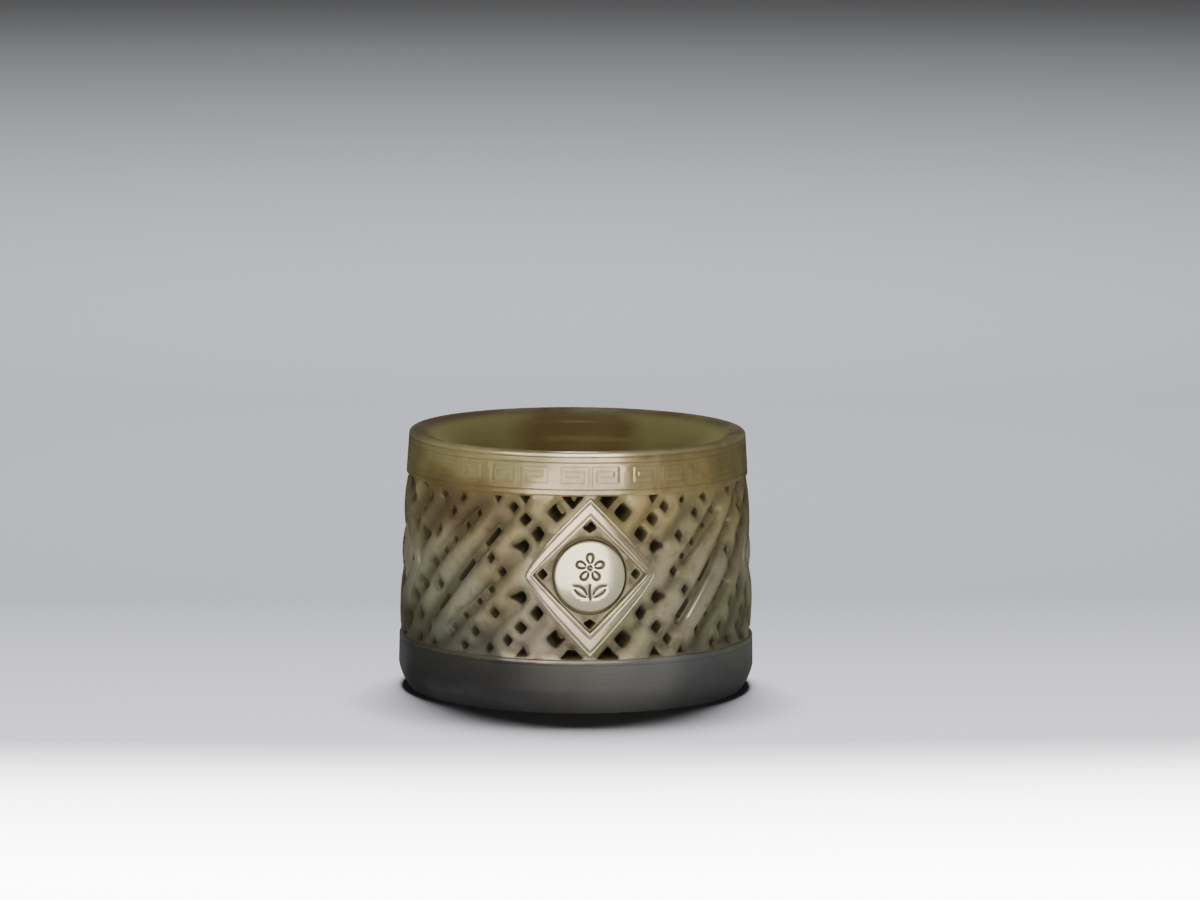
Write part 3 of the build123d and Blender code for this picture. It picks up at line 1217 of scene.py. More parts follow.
@dataclass
class BandSector:
    """One of the sectors that carry everything but the lattice: rim, mouth, bore ends and foot."""

    form: TurnedForm
    count: int = 15
    line_width: float = 0.15
    line_depth: float = 0.05
    line_dark: float = 0.3
    plain_polish: float = 0.42
    lip_polish: float = 0.9
    rim_lines: Row = (20.51, 22.95, 23.46)
    foot_lines: tuple[float, ...] = (4.5,)
    rim_fret: FretPlan = FretPlan(low=20.77, high=22.6, width=0.14, depth=0.026, dark=0.6)
    foot_fret: FretPlan = FretPlan(low=2.45, high=4.15, width=0.16, depth=0.01, dark=0.08)
    fret_margin: float = 0.14
    spacing: float = 0.34

    # Levels of the plain rows that keep the long faces short, and how finely each arc is divided
    rim_rows: Row = (20.28, 23.14, 23.3)
    bore_rows_high: Point = (21.1, 20.5)
    bore_rows_low: Row = (3.8, 2.7, 1.6)
    foot_rows: int = 3
    lip_steps: int = 5
    crown_steps: int = 6
    mouth_steps: int = 10
    bevel_steps: int = 8

    # The rounded edge of a band over the lattice: distance into the band and depth
    band_edge: tuple[Point, ...] = ((0.0, 0.25), (0.01, 0.12), (0.07, 0.03), (0.18, 0.0))
    half: int = field(init=False)
    mesh: ReliefMesh = field(init=False)

    def __post_init__(self) -> None:
        """Starts the sector's mesh."""
        self.half = TURN_SAMPLES // self.count // 2
        self.mesh = ReliefMesh(self.plain_polish)

    def row(self, radius: float, level: float, cut: float = 0.0,
            polish: Optional[float] = None) -> list[int]:
        """Adds a row of points across the sector, from left to right."""
        steps = range(-self.half, self.half + 1)
        return [self.mesh.add(step * ARC_STEP, level, radius, cut, polish) for step in steps]

    def rows(self, section: list[Row]) -> tuple[list[int], list[int]]:
        """Adds a turned surface.

        Args:
            section: radius, level and cut of each row, anticlockwise round the wall's section.

        Returns:
            The first row and the last row.
        """
        lines = [self.row(*place) for place in section]
        self.mesh.join(lines, closed=False)
        return lines[0], lines[-1]

    def side_rows(self, *levels: float) -> list[Row]:
        """Rows of the smooth side at the given levels, from the lowest up."""
        return [(self.form.side(0.0, level), level, 0.0) for level in levels]

    def line_rows(self, level: float) -> list[Row]:
        """The rows of a line engraved all round at a level."""
        low, high = self.side_rows(level - self.line_width / 2, level + self.line_width / 2)
        return [low, (self.form.side(0.0, level) - self.line_depth, level, self.line_dark), high]

    def edge_rows(self, level: float, way: int) -> list[Row]:
        """The rounded edge of a band that starts over or under the lattice.

        Args:
            level: the band's edge.
            way: 1 for a band over the lattice, -1 for one under it.

        Returns:
            The section's rows, from the lattice into the band.
        """
        places = [(level + way * into, depth) for into, depth in self.band_edge]
        return [(self.form.side(0.0, up) - depth, up, 0.0) for up, depth in places]

    def engrave_fret(self, fret: FretPlan, low_row: list[int], high_row: list[int]) -> None:
        """Fills the side between two rows and engraves the key fret in it.

        Args:
            fret: the fret's plan.
            low_row: the row below the fret.
            high_row: the row above the fret.
        """
        points = self.mesh.points
        side_arc = self.half * ARC_STEP
        low, high = points[low_row[0]][1], points[high_row[0]][1]
        levels = np.linspace(low, high, math.ceil((high - low) / self.spacing) + 1)[1:-1]
        right = self.mesh.loop([(side_arc, level) for level in levels], self.form.side, 0.0)
        left = self.mesh.loop([(-side_arc, level) for level in levels[::-1]], self.form.side, 0.0)
        rails = (Rail(1.0, 0.0, 0.0, self.mesh.plain_polish), Rail(0.0, fret.depth, fret.dark, 0.1))
        strokes = [self.mesh.stroke(path, fret.width, rails, self.form.side) for path in fret.paths()]
        border = low_row + right + high_row[::-1] + left
        self.mesh.fill(border, [], strokes, self.spacing, self.form.side)

    def build(self) -> bpy.types.Object:
        """Draws the sector on the unrolled ring.

        Returns:
            The sector's flat object.
        """
        form = self.form
        low_line, high_line, top_line = self.rim_lines
        fret = self.rim_fret
        below = self.edge_rows(form.lattice_high, 1) + self.side_rows(self.rim_rows[0])
        below += self.line_rows(low_line)
        below += self.side_rows(fret.low - self.fret_margin)
        _, rim_low = self.rows(below)
        above = self.side_rows(fret.high + self.fret_margin)
        above += self.line_rows(high_line) + self.side_rows(*self.rim_rows[1:]) + self.line_rows(top_line)
        lip_start = (form.rim_radius, form.side_top)
        lip_end = (form.rim_radius - form.lip_round, form.height)
        lip = bulged_arc(lip_start, lip_end, form.lip_round * (1 - math.sqrt(0.5)), self.lip_steps)
        mouth_start = (form.bore_radius + form.mouth_flare, form.height - form.mouth_fall)
        mouth_end = (form.bore_radius, form.height - form.mouth_depth)
        crown = bulged_arc(lip[-1], mouth_start, form.crown_bulge, self.crown_steps)[1:-1]
        mouth = bulged_arc(mouth_start, mouth_end, form.mouth_crown, self.mouth_steps)
        bore_top = [(form.bore_radius, level) for level in (*self.bore_rows_high, form.lattice_high)]
        above += [(radius, level, 0.0, self.lip_polish) for radius, level in lip]
        above += [(radius, level, 0.0) for radius, level in crown + mouth + bore_top]
        rim_high, _ = self.rows(above)
        self.engrave_fret(fret, rim_low, rim_high)

        fret = self.foot_fret
        levels = (form.lattice_low, *self.bore_rows_low, form.bore_bevel)
        bore_low = [(form.bore_radius, level) for level in levels]
        foot_edge = form.foot_radius - form.bevel_in
        foot_start = form.bore_radius + form.bore_bevel
        foot_width = foot_edge - foot_start
        foot = [(foot_start + foot_width * k / self.foot_rows, 0.0) for k in range(self.foot_rows)]
        bevel_end = (form.foot_radius, form.bevel_up)
        bevel = bulged_arc((foot_edge, 0.0), bevel_end, form.bevel_bulge, self.bevel_steps)
        below = [(radius, level, 0.0) for radius, level in bore_low + foot + bevel]
        below += self.side_rows(fret.low - self.fret_margin)
        _, foot_low = self.rows(below)
        above = self.side_rows(fret.high + self.fret_margin)
        above += [row for level in self.foot_lines for row in self.line_rows(level)]
        above += self.edge_rows(form.lattice_low, -1)[::-1]
        foot_high, _ = self.rows(above)
        self.engrave_fret(fret, foot_low, foot_high)
        log.info("band sector: %d faces", len(self.mesh.faces))
        return self.mesh.flat_object("band_sector")


class NodeBench:
    """Adds nodes to one tree, each with its settings and links, in a row."""

    def __init__(self, tree: bpy.types.NodeTree) -> None:
        """Keeps a shader or geometry tree."""
        self.tree = tree

    def add(self, kind: str, inputs: Optional[dict[object, object]] = None,
            **settings: object) -> bpy.types.Node:
        """Adds one node.

        Args:
            kind: the node's type name.
            inputs: by the input's name or number, a value, an output, or a node for its first output.
            settings: the node's own properties.

        Returns:
            The node.
        """
        node = self.tree.nodes.new(kind)
        node.location = (len(self.tree.nodes) * 180, 0)
        for name, value in settings.items():
            setattr(node, name, value)
        for key, value in (inputs or {}).items():
            source = value.outputs[0] if isinstance(value, bpy.types.Node) else value
            if isinstance(source, bpy.types.NodeSocket):
                self.tree.links.new(source, node.inputs[key])
            else:
                node.inputs[key].default_value = source
        return node


@dataclass(frozen=True)
class StainAndShade:
    """A soft-edged patch of colour on the outer wall, at an angle to the right of the front and a level:
    most are the stone's own staining, and four on the far sides, where the wall turns from the light,
    are painted shade.

    The angle is in degrees and the lengths are in millimetres. The dull share tells how much of the
    polish is worn off in it, and the filled share how much of the engraved lines' dark it hides.
    """

    angle: float
    level: float
    across: float
    up: float
    colour: str
    strength: float
    dull: float = 0.0
    filled: float = 0.0


class Mark(Enum):
    """What a veil of colour follows: a cloudy pattern, the height, how the stone was worked, or painted
    shade.
    """

    DRIFT = "drift"
    CLOUD = "cloud"
    MOSS = "moss"
    RUST = "rust"
    FLECK = "fleck"
    GRAIN = "grain"
    HEIGHT = "height"
    POLISH = "polish"
    RECESS = "recess"


@dataclass(frozen=True)
class Veil:
    """A layer of colour that sets in from a mark's low value to its high one."""

    mark: Mark
    low: float
    high: float
    share: float
    colour: str


class StoneTree(NodeBench):
    """The stone's shader tree, with the places and the marks that its layers read."""

    def __init__(self, material: bpy.types.Material, finish: "JadeFinish") -> None:
        """Empties the material's tree and adds what the layers read.

        Args:
            material: the stone's material.
            finish: the stone's colours and sizes.
        """
        material.use_nodes = True
        super().__init__(material.node_tree)
        self.tree.nodes.clear()
        self.finish = finish
        self.place = self.add("ShaderNodeTexCoord").outputs["Object"]
        split = self.add("ShaderNodeSeparateXYZ", {0: self.place}).outputs
        self.across, self.level = split["X"], split["Z"]
        self.marks: dict[Mark, Source] = {}
        for number, (mark, size, detail) in enumerate(finish.patterns):
            self.marks[mark] = self.add("ShaderNodeTexNoise", {
                "Vector": self.place, "W": number + 1.0, "Scale": 1 / (size * MM), "Detail": detail,
                "Roughness": finish.pattern_roughness,
            }, noise_dimensions="4D")
        self.marks[Mark.HEIGHT] = self.drifted(self.level, Mark.DRIFT, finish.height_drift * MM)
        self.marks[Mark.POLISH] = self.add("ShaderNodeAttribute", attribute_name="polish").outputs["Fac"]
        # Ambient occlusion, which a veil reads to paint umber shade into the recesses
        reach = {"Distance": finish.recess_reach * MM}
        self.marks[Mark.RECESS] = self.add("ShaderNodeAmbientOcclusion", reach, samples=6).outputs["AO"]

    def drifted(self, value: Union[Source, float], mark: Mark, reach: float) -> bpy.types.Node:
        """A value moved by a cloudy pattern, up to a reach in the value's own unit."""
        drift = self.add("ShaderNodeMath", {0: self.marks[mark], 1: reach}, operation="MULTIPLY")
        return self.add("ShaderNodeMath", {0: value, 1: drift}, operation="ADD")

    def onset(self, value: Source, low: float, high: float, mark: Optional[Mark] = None,
              reach: float = 0.0) -> bpy.types.Node:
        """Makes a soft border that a cloudy pattern may move.

        Args:
            value: what the border follows.
            low: the value where the share is 0.
            high: the value where the share is 1.
            mark: the cloudy pattern, or nothing for a border that stays in place.
            reach: how far the pattern moves the border at most, in the value's own unit.

        Returns:
            The node that gives the share.
        """
        moved = value if mark is None else self.drifted(value, mark, reach)
        span = {"Value": moved, "From Min": low, "From Max": high}
        return self.add("ShaderNodeMapRange", span, interpolation_type="SMOOTHSTEP")

    def laid(self, share: Source, most: float, first: Colour, second: Colour) -> bpy.types.NodeSocket:
        """Lays one colour over another.

        Args:
            share: how far the second colour covers, from 0 to 1.
            most: how much of the first colour it hides where the share is 1.
            first: the colour below.
            second: the colour above.

        Returns:
            The two colours' mix.
        """
        cover = self.add("ShaderNodeMath", {0: share, 1: most}, operation="MULTIPLY")
        pair = [srgb(colour) if isinstance(colour, str) else colour for colour in (first, second)]
        return self.add("ShaderNodeMix", {0: cover, 6: pair[0], 7: pair[1]}, data_type="RGBA").outputs[2]

    def lessened(self, value: Source, share: Source, lost: float) -> bpy.types.Node:
        """Makes a value smaller where a share is high.

        Args:
            value: the value.
            share: where it gets smaller, from 0 to 1.
            lost: which part of the value is lost where the share is 1.

        Returns:
            The node that gives what is kept.
        """
        gone = self.add("ShaderNodeMath", {0: share, 1: lost}, operation="MULTIPLY")
        kept = self.add("ShaderNodeMath", {0: 1.0, 1: gone}, operation="SUBTRACT")
        return self.add("ShaderNodeMath", {0: value, 1: kept}, operation="MULTIPLY")

    def inner_share(self) -> bpy.types.Node:
        """How far inside the mouth and the thumb hole a place is.

        Returns:
            The node that gives 0 on the outer wall and 1 inside the mouth.
        """
        flat = self.add("ShaderNodeVectorMath", {0: self.place, 1: (1.0, 1.0, 0.0)}, operation="MULTIPLY")
        radius = self.add("ShaderNodeVectorMath", {0: flat}, operation="LENGTH").outputs["Value"]
        return self.onset(radius, self.finish.mouth_outer * MM, self.finish.mouth_inner * MM)

    def stain_and_shade_share(self, patch: StainAndShade) -> bpy.types.Node:
        """How much of a patch, staining or painted shade, shows at a place.

        Args:
            patch: the patch.

        Returns:
            The node that gives 1 in the patch's middle and 0 well outside it.
        """
        turn = math.radians(patch.angle)
        middle = Vector((ARC_RADIUS * math.sin(turn), -ARC_RADIUS * math.cos(turn), patch.level)) * MM
        reach = Vector((1 / patch.across, 1 / patch.across, 1 / patch.up)) / MM
        off = self.add("ShaderNodeVectorMath", {0: self.place, 1: tuple(middle)}, operation="SUBTRACT")
        scaled = self.add("ShaderNodeVectorMath", {0: off, 1: tuple(reach)}, operation="MULTIPLY")
        away = self.add("ShaderNodeVectorMath", {0: scaled}, operation="LENGTH").outputs["Value"]
        outer, inner = self.finish.patch_edge
        wander = self.finish.patch_wander
        return self.onset(away, outer + wander / 2, inner + wander / 2, Mark.CLOUD, wander)


@dataclass(frozen=True)
class JadeFinish:
    """Old nephrite jade, ground, carved and hand-polished, with earth-brown skin and a charcoal foot.

    Nephrite is a tough fibrous stone with a waxy polish: light goes about a millimetre into it, its
    colour drifts from olive to brown in cloudy patches, and the low parts of the carving stay matter
    because a polisher's leather doesn't reach them. Its hollows, holes and recesses are painted darker
    as painted shade, and its most polished places paler as painted sheen. Lengths are in millimetres.
    """

    olive: str = "4c462d"
    charcoal: str = "242527"
    slate: str = "585855"
    # The engraved lines' dark, which the cut mark also lays as painted shade in the hollows, the holes and
    # the sunk window
    engraved: str = "2b271b"
    bore_umber: str = "524526"
    bore_moss: str = "686641"
    ior: float = 1.63
    polished_roughness: float = 0.17
    ground_roughness: float = 0.55
    fleck_roughness: float = 0.12
    ground_specular: float = 0.01
    scatter_depth: float = 0.9
    scatter_share: float = 0.3
    scatter_colour: Row = (1.0, 0.85, 0.6)
    mouth_outer: float = 14.4
    mouth_inner: float = 13.2
    foot_level: float = 4.95
    foot_blend: float = 0.3
    foot_share: float = 0.97
    foot_dull: float = 1.0
    vein_drift: float = 12.0
    vein_span: Point = (-0.003, 0.010)
    bore_share: float = 0.85
    bore_drift: float = 5.0
    bore_span: Point = (0.006, 0.0095)
    bore_dull: float = 0.98
    engraved_and_shade_share: float = 0.85
    worn_from: Point = (0.35, 0.65)
    worn_to: Point = (0.75, 1.1)
    grain_share: float = 0.35
    pit_strength: float = 0.18
    pit_depth: float = 0.05
    recess_reach: float = 1.1
    height_drift: float = 8.0
    patch_edge: Point = (1.3, 0.45)
    patch_wander: float = 1.6

    # Cloudy patterns, by their size and how many finer layers they have
    patterns: tuple[tuple[Mark, float, float], ...] = (
        (Mark.DRIFT, 15.0, 3.0), (Mark.CLOUD, 5.0, 6.0), (Mark.MOSS, 15.0, 4.0),
        (Mark.RUST, 5.0, 7.0), (Mark.FLECK, 0.9, 5.0), (Mark.GRAIN, 0.25, 4.0),
    )
    pattern_roughness: float = 0.55

    # Honey clouds, taupe lower down, umber drifts, moss, rust, umber flecks, a patina where no polish
    # reaches, a paler tone painted as sheen on the most polished places, chiefly the boss, and umber
    # painted as shade in the recesses, from ambient occlusion
    veils: tuple[Veil, ...] = (
        Veil(Mark.CLOUD, 0.42, 0.6, 1.0, "615537"),
        Veil(Mark.HEIGHT, 0.023, 0.012, 1.0, "716d60"),
        Veil(Mark.DRIFT, 0.5, 0.66, 1.0, "46392a"),
        Veil(Mark.MOSS, 0.5, 0.64, 1.0, "63664a"),
        Veil(Mark.RUST, 0.5, 0.62, 0.6, "47381f"),
        Veil(Mark.FLECK, 0.5, 0.66, 0.55, "46392a"),
        Veil(Mark.POLISH, 0.35, 0.1, 0.35, "736a4b"),
        # Painted sheen: the most polished places, chiefly the boss, laid paler
        Veil(Mark.POLISH, 0.86, 1.0, 0.8, "938c74"),
        # Painted shade: umber where ambient occlusion finds a recess
        Veil(Mark.RECESS, 0.9, 0.25, 0.55, "46392a"),
    )
    stains_and_shades: tuple[StainAndShade, ...] = (
        StainAndShade(-42.0, 21.8, 10.5, 3.2, "5f5c3a", 0.45, 0.88, 0.8),
        StainAndShade(50.0, 21.8, 7.5, 3.2, "4a4024", 0.5, 0.3, 0.8),
        # Painted shade on the rim's far left, where the wall turns from the light, and its polish partly
        # worn
        StainAndShade(-76.0, 22.0, 5.0, 3.4, "34331f", 0.6, 0.6),
        StainAndShade(-52.0, 20.6, 6.0, 1.3, "423a20", 0.5),
        # Painted shade on the rim's far right, where the wall turns from the light, and its polish partly
        # worn
        StainAndShade(72.0, 21.8, 5.0, 3.2, "38331f", 0.55, 0.6),
        StainAndShade(-60.0, 6.2, 10.5, 2.6, "2b2b26", 0.85, 0.6),
        StainAndShade(-44.0, 18.3, 6.5, 2.6, "38291a", 0.7),
        StainAndShade(-30.0, 20.4, 5.0, 0.9, "4a371d", 0.45),
        StainAndShade(-40.0, 6.6, 5.5, 1.6, "5f6258", 0.5),
        StainAndShade(18.0, 10.5, 2.5, 3.5, "62674a", 0.35),
        # Painted shade on the lattice's far left, where the wall turns from the light, with nearly all its
        # polish worn
        StainAndShade(-85.0, 12.6, 6.5, 8.0, "35332a", 0.65, 0.95),
        StainAndShade(-13.0, 6.6, 2.6, 1.5, "8b7e79", 0.5),
        StainAndShade(0.0, 7.2, 4.5, 2.6, "75694d", 0.15, 0.5),
        StainAndShade(58.0, 2.6, 7.0, 5.0, "37383a", 0.7),
        StainAndShade(-82.0, 3.0, 4.0, 3.0, "4c4d52", 0.7),
        StainAndShade(-38.0, 0.6, 8.0, 1.5, "55565a", 0.35),
        # Painted shade on the lattice's far right, where the wall turns from the light, and half its polish
        # worn
        StainAndShade(86.0, 13.0, 5.0, 8.0, "38372e", 0.5, 0.5),
        StainAndShade(24.0, 18.2, 3.6, 2.2, "8a7a4c", 0.5),
        StainAndShade(68.0, 9.0, 7.0, 6.0, "5a5d4b", 0.5, 0.5),
        StainAndShade(-58.0, 10.5, 6.0, 4.0, "5a5d4d", 0.5),
        StainAndShade(-48.0, 11.5, 8.5, 6.5, "5a5a44", 0.2, 0.85),
    )

    def bored(self, tree: StoneTree, colour: Colour, inner: Source) -> Colour:
        """Lays the thumb hole's darker stone over a colour: brown before and behind, moss aside.

        Args:
            tree: the stone's tree.
            colour: the colour outside the hole.
            inner: how far inside a place is.

        Returns:
            The colour with the hole's own tint.
        """
        aside = tree.add("ShaderNodeMath", {0: tree.across}, operation="ABSOLUTE")
        spread = tree.onset(aside, *self.bore_span, Mark.CLOUD, self.bore_drift * MM)
        tint = tree.laid(spread, 1.0, self.bore_umber, self.bore_moss)
        return tree.laid(inner, self.bore_share, colour, tint)

    def material(self) -> bpy.types.Material:
        """Builds the stone's material.

        Returns:
            The material.
        """
        material = bpy.data.materials.new("carved_nephrite")
        tree = StoneTree(material, self)
        marks = tree.marks
        colour: Colour = self.olive
        for veil in self.veils:
            share = tree.onset(marks[veil.mark], veil.low, veil.high)
            colour = tree.laid(share, veil.share, colour, veil.colour)

        blend = self.foot_blend * 2
        foot_top, foot_low = (self.foot_level + blend) * MM, self.foot_level * MM
        foot = tree.onset(tree.level, foot_top, foot_low, Mark.CLOUD, blend * MM)
        veins = tree.onset(tree.across, *self.vein_span, Mark.MOSS, self.vein_drift * MM)
        stained = tree.laid(veins, 1.0, self.charcoal, self.slate)
        colour = tree.laid(foot, self.foot_share, colour, stained)

        cut: Source = tree.add("ShaderNodeAttribute", attribute_name="cut").outputs["Fac"]
        inner = tree.inner_share()
        gloss = tree.lessened(tree.lessened(marks[Mark.POLISH], foot, self.foot_dull), inner, self.bore_dull)
        for patch in self.stains_and_shades:
            share = tree.stain_and_shade_share(patch)
            colour = tree.laid(share, patch.strength, colour, patch.colour)
            if patch.dull:
                gloss = tree.lessened(gloss, share, patch.dull)
            if patch.filled:
                cut = tree.lessened(cut, share, patch.filled)
        colour = self.bored(tree, colour, inner)
        # The cut mark lays the engraved dark in the lines and painted shade in the hollows, the holes and
        # the sunk window
        colour = tree.laid(cut, self.engraved_and_shade_share, colour, self.engraved)

        worn = tree.add("ShaderNodeMapRange", {
            "Value": marks[Mark.CLOUD], "From Min": self.worn_from[0], "From Max": self.worn_from[1],
            "To Min": self.worn_to[0], "To Max": self.worn_to[1],
        })
        gloss = tree.add("ShaderNodeMath", {0: gloss, 1: worn}, operation="MULTIPLY", use_clamp=True)
        rough = tree.drifted(self.ground_roughness, Mark.FLECK, self.fleck_roughness)
        bump = tree.add("ShaderNodeBump", {
            "Height": tree.drifted(marks[Mark.FLECK], Mark.GRAIN, self.grain_share),
            "Strength": self.pit_strength, "Distance": self.pit_depth * MM,
        })
        shader = tree.add("ShaderNodeBsdfPrincipled", {
            "Base Color": colour, "Roughness": rough, "IOR": self.ior, "Normal": bump,
            "Specular IOR Level": self.ground_specular, "Coat Weight": gloss,
            "Coat Roughness": self.polished_roughness, "Coat IOR": self.ior,
            "Subsurface Weight": self.scatter_share, "Subsurface Scale": self.scatter_depth * MM,
            "Subsurface Radius": self.scatter_colour,
        })
        tree.add("ShaderNodeOutputMaterial", {"Surface": shader})
        return material


@dataclass
class ThumbRing:
    """The whole ring: its sectors wrapped round the axis, welded into one stone and dressed."""

    form: TurnedForm
    plan: LozengePlan
    finish: JadeFinish
    weld: float = 0.002
    hand_wobble: float = 0.02
    wobble_size: float = 6.0
    edge_angle: float = 52.0
    seed: float = 11.0

    def wrapped(self, bench: NodeBench, given: bpy.types.NodeOutputs, part: str) -> bpy.types.Node:
        """Wraps a flat sector round the axis and repeats it all round.

        Args:
            bench: the geometry tree's bench.
            given: the tree's named inputs.
            part: the first word of the sector's inputs.

        Returns:
            The node that gives the instances of the wrapped sector.
        """
        flat = bench.add("GeometryNodeObjectInfo", {"Object": given[part + " sector"]}).outputs["Geometry"]
        drawn = bench.add("ShaderNodeSeparateXYZ", {0: bench.add("GeometryNodeInputPosition")}).outputs
        turn = bench.add("ShaderNodeMath", {0: drawn["X"], 1: given["Arc radius"]}, operation="DIVIDE")
        sine = bench.add("ShaderNodeMath", {0: turn}, operation="SINE")
        cosine = bench.add("ShaderNodeMath", {0: turn}, operation="COSINE")
        right = bench.add("ShaderNodeMath", {0: sine, 1: drawn["Y"]}, operation="MULTIPLY")
        back = bench.add("ShaderNodeMath", {0: cosine, 1: drawn["Y"]}, operation="MULTIPLY")
        front = bench.add("ShaderNodeMath", {0: back, 1: -1.0}, operation="MULTIPLY")
        place = bench.add("ShaderNodeCombineXYZ", {"X": right, "Y": front, "Z": drawn["Z"]})
        wall = bench.add("GeometryNodeSetPosition", {"Geometry": flat, "Position": place})
        count = given[part + " count"]
        pitch = bench.add("ShaderNodeMath", {0: 2 * math.pi, 1: count}, operation="DIVIDE")
        number = bench.add("GeometryNodeInputIndex")
        turns = {0: number, 1: pitch, 2: given["First angle"]}
        angle = bench.add("ShaderNodeMath", turns, operation="MULTIPLY_ADD")
        return bench.add("GeometryNodeInstanceOnPoints", {
            "Points": bench.add("GeometryNodePoints", {"Count": count}), "Instance": wall,
            "Rotation": bench.add("ShaderNodeCombineXYZ", {"Z": angle}),
        })

    def ring_tree(self) -> bpy.types.NodeTree:
        """Builds the Geometry Nodes tree that turns the two flat sectors into the whole ring.

        Returns:
            The tree, with named inputs for its sizes.
        """
        tree = bpy.data.node_groups.new("wrap_ring", "GeometryNodeTree")
        tree.interface.new_socket("Geometry", in_out="INPUT", socket_type="NodeSocketGeometry")
        for name, kind in (("Lattice sector", "Object"), ("Lattice count", "Int"), ("Band sector", "Object"),
                           ("Band count", "Int"), ("Arc radius", "Float"), ("First angle", "Float"),
                           ("Weld distance", "Float"), ("Wobble", "Float"), ("Wobble size", "Float"),
                           ("Seed", "Float"), ("Edge angle", "Float"), ("Stone", "Material")):
            tree.interface.new_socket(name, in_out="INPUT", socket_type="NodeSocket" + kind)
        tree.interface.new_socket("Geometry", in_out="OUTPUT", socket_type="NodeSocketGeometry")
        bench = NodeBench(tree)
        given = bench.add("NodeGroupInput").outputs
        parts = [self.wrapped(bench, given, part) for part in ("Lattice", "Band")]
        joined = bench.add("GeometryNodeJoinGeometry")
        for part in parts:
            tree.links.new(part.outputs[0], joined.inputs[0])
        real = bench.add("GeometryNodeRealizeInstances", {0: joined})
        weld = {"Geometry": real, "Distance": given["Weld distance"]}
        welded = bench.add("GeometryNodeMergeByDistance", weld)
        scale = bench.add("ShaderNodeMath", {0: 1.0, 1: given["Wobble size"]}, operation="DIVIDE")
        wobble = {"W": given["Seed"], "Scale": scale, "Detail": 1.0}
        noise = bench.add("ShaderNodeTexNoise", wobble, noise_dimensions="4D")
        inward = bench.add("ShaderNodeMath", {0: given["Wobble"], 1: -1.0}, operation="MULTIPLY")
        depth = bench.add("ShaderNodeMath", {0: noise, 1: inward}, operation="MULTIPLY")
        normal = bench.add("GeometryNodeInputNormal")
        offset = bench.add("ShaderNodeVectorMath", {0: normal, "Scale": depth}, operation="SCALE")
        carved = bench.add("GeometryNodeSetPosition", {"Geometry": welded, "Offset": offset})
        shade = {"Geometry": carved, "Shade Smooth": True}
        smooth = bench.add("GeometryNodeSetShadeSmooth", shade, domain="FACE")
        bend = bench.add("GeometryNodeInputMeshEdgeAngle")
        sharp = bench.add("FunctionNodeCompare", {0: bend, 1: given["Edge angle"]}, operation="GREATER_THAN")
        shade = {"Geometry": smooth, "Selection": sharp, "Shade Smooth": False}
        edged = bench.add("GeometryNodeSetShadeSmooth", shade, domain="EDGE")
        solid = bench.add("GeometryNodeRealizeInstances", {0: edged})
        dressed = bench.add("GeometryNodeSetMaterial", {"Geometry": solid, "Material": given["Stone"]})
        bench.add("NodeGroupOutput", {0: dressed})
        return tree

    def build(self) -> bpy.types.Object:
        """Makes the ring's one closed mesh.

        Returns:
            The ring's object.
        """
        lattice = LatticeSector(self.form, Lozenge(self.form, self.plan)).build()
        band = BandSector(self.form).build()
        host = bpy.data.objects.new("ring_host", bpy.data.meshes.new("ring_host"))
        bpy.context.scene.collection.objects.link(host)
        tree = self.ring_tree()
        modifier = host.modifiers.new("wrap_ring", "NODES")
        modifier.node_group = tree
        stone = self.finish.material()
        values = {
            "Lattice sector": lattice, "Lattice count": self.plan.count, "Band sector": band,
            "Band count": BandSector.count, "Arc radius": ARC_RADIUS * MM,
            "First angle": math.radians(self.plan.front_angle), "Weld distance": self.weld * MM,
            "Wobble": self.hand_wobble * MM, "Wobble size": self.wobble_size * MM, "Seed": self.seed,
            "Edge angle": math.radians(self.edge_angle), "Stone": stone,
        }
        for socket in tree.interface.items_tree:
            if socket.in_out == "INPUT" and socket.name in values:
                modifier[socket.identifier] = values[socket.name]
        graph = bpy.context.evaluated_depsgraph_get()
        mesh = bpy.data.meshes.new_from_object(host.evaluated_get(graph))
        host.modifiers.remove(modifier)
        for spare in (host, lattice, band):
            bpy.data.objects.remove(spare)
        ring = bpy.data.objects.new("jade_ring", mesh)
        bpy.context.scene.collection.objects.link(ring)
        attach(ring, ONLY_BODY)
        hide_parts(RING_NODE)
        mesh.calc_loop_triangles()
        uses = np.zeros(len(mesh.edges), dtype=int)
        loops = np.zeros(len(mesh.loops), dtype=int)
        mesh.loops.foreach_get("edge_index", loops)
        np.add.at(uses, loops, 1)
        counts = (len(mesh.loop_triangles), int((uses == 1).sum()), int((uses > 2).sum()))
        log.info("%s: %d triangles, %d open edges, %d shared edges", ring.name, *counts)
        return ring


class LampUse(Enum):
    """What a lamp is for: its light on the ring, only its reflection, only its glow, or the floor."""

    RING = "ring"
    SHINE = "shine"
    GLOW = "glow"
    FLOOR = "floor"


SHINE_TINT = "ffe9c8"


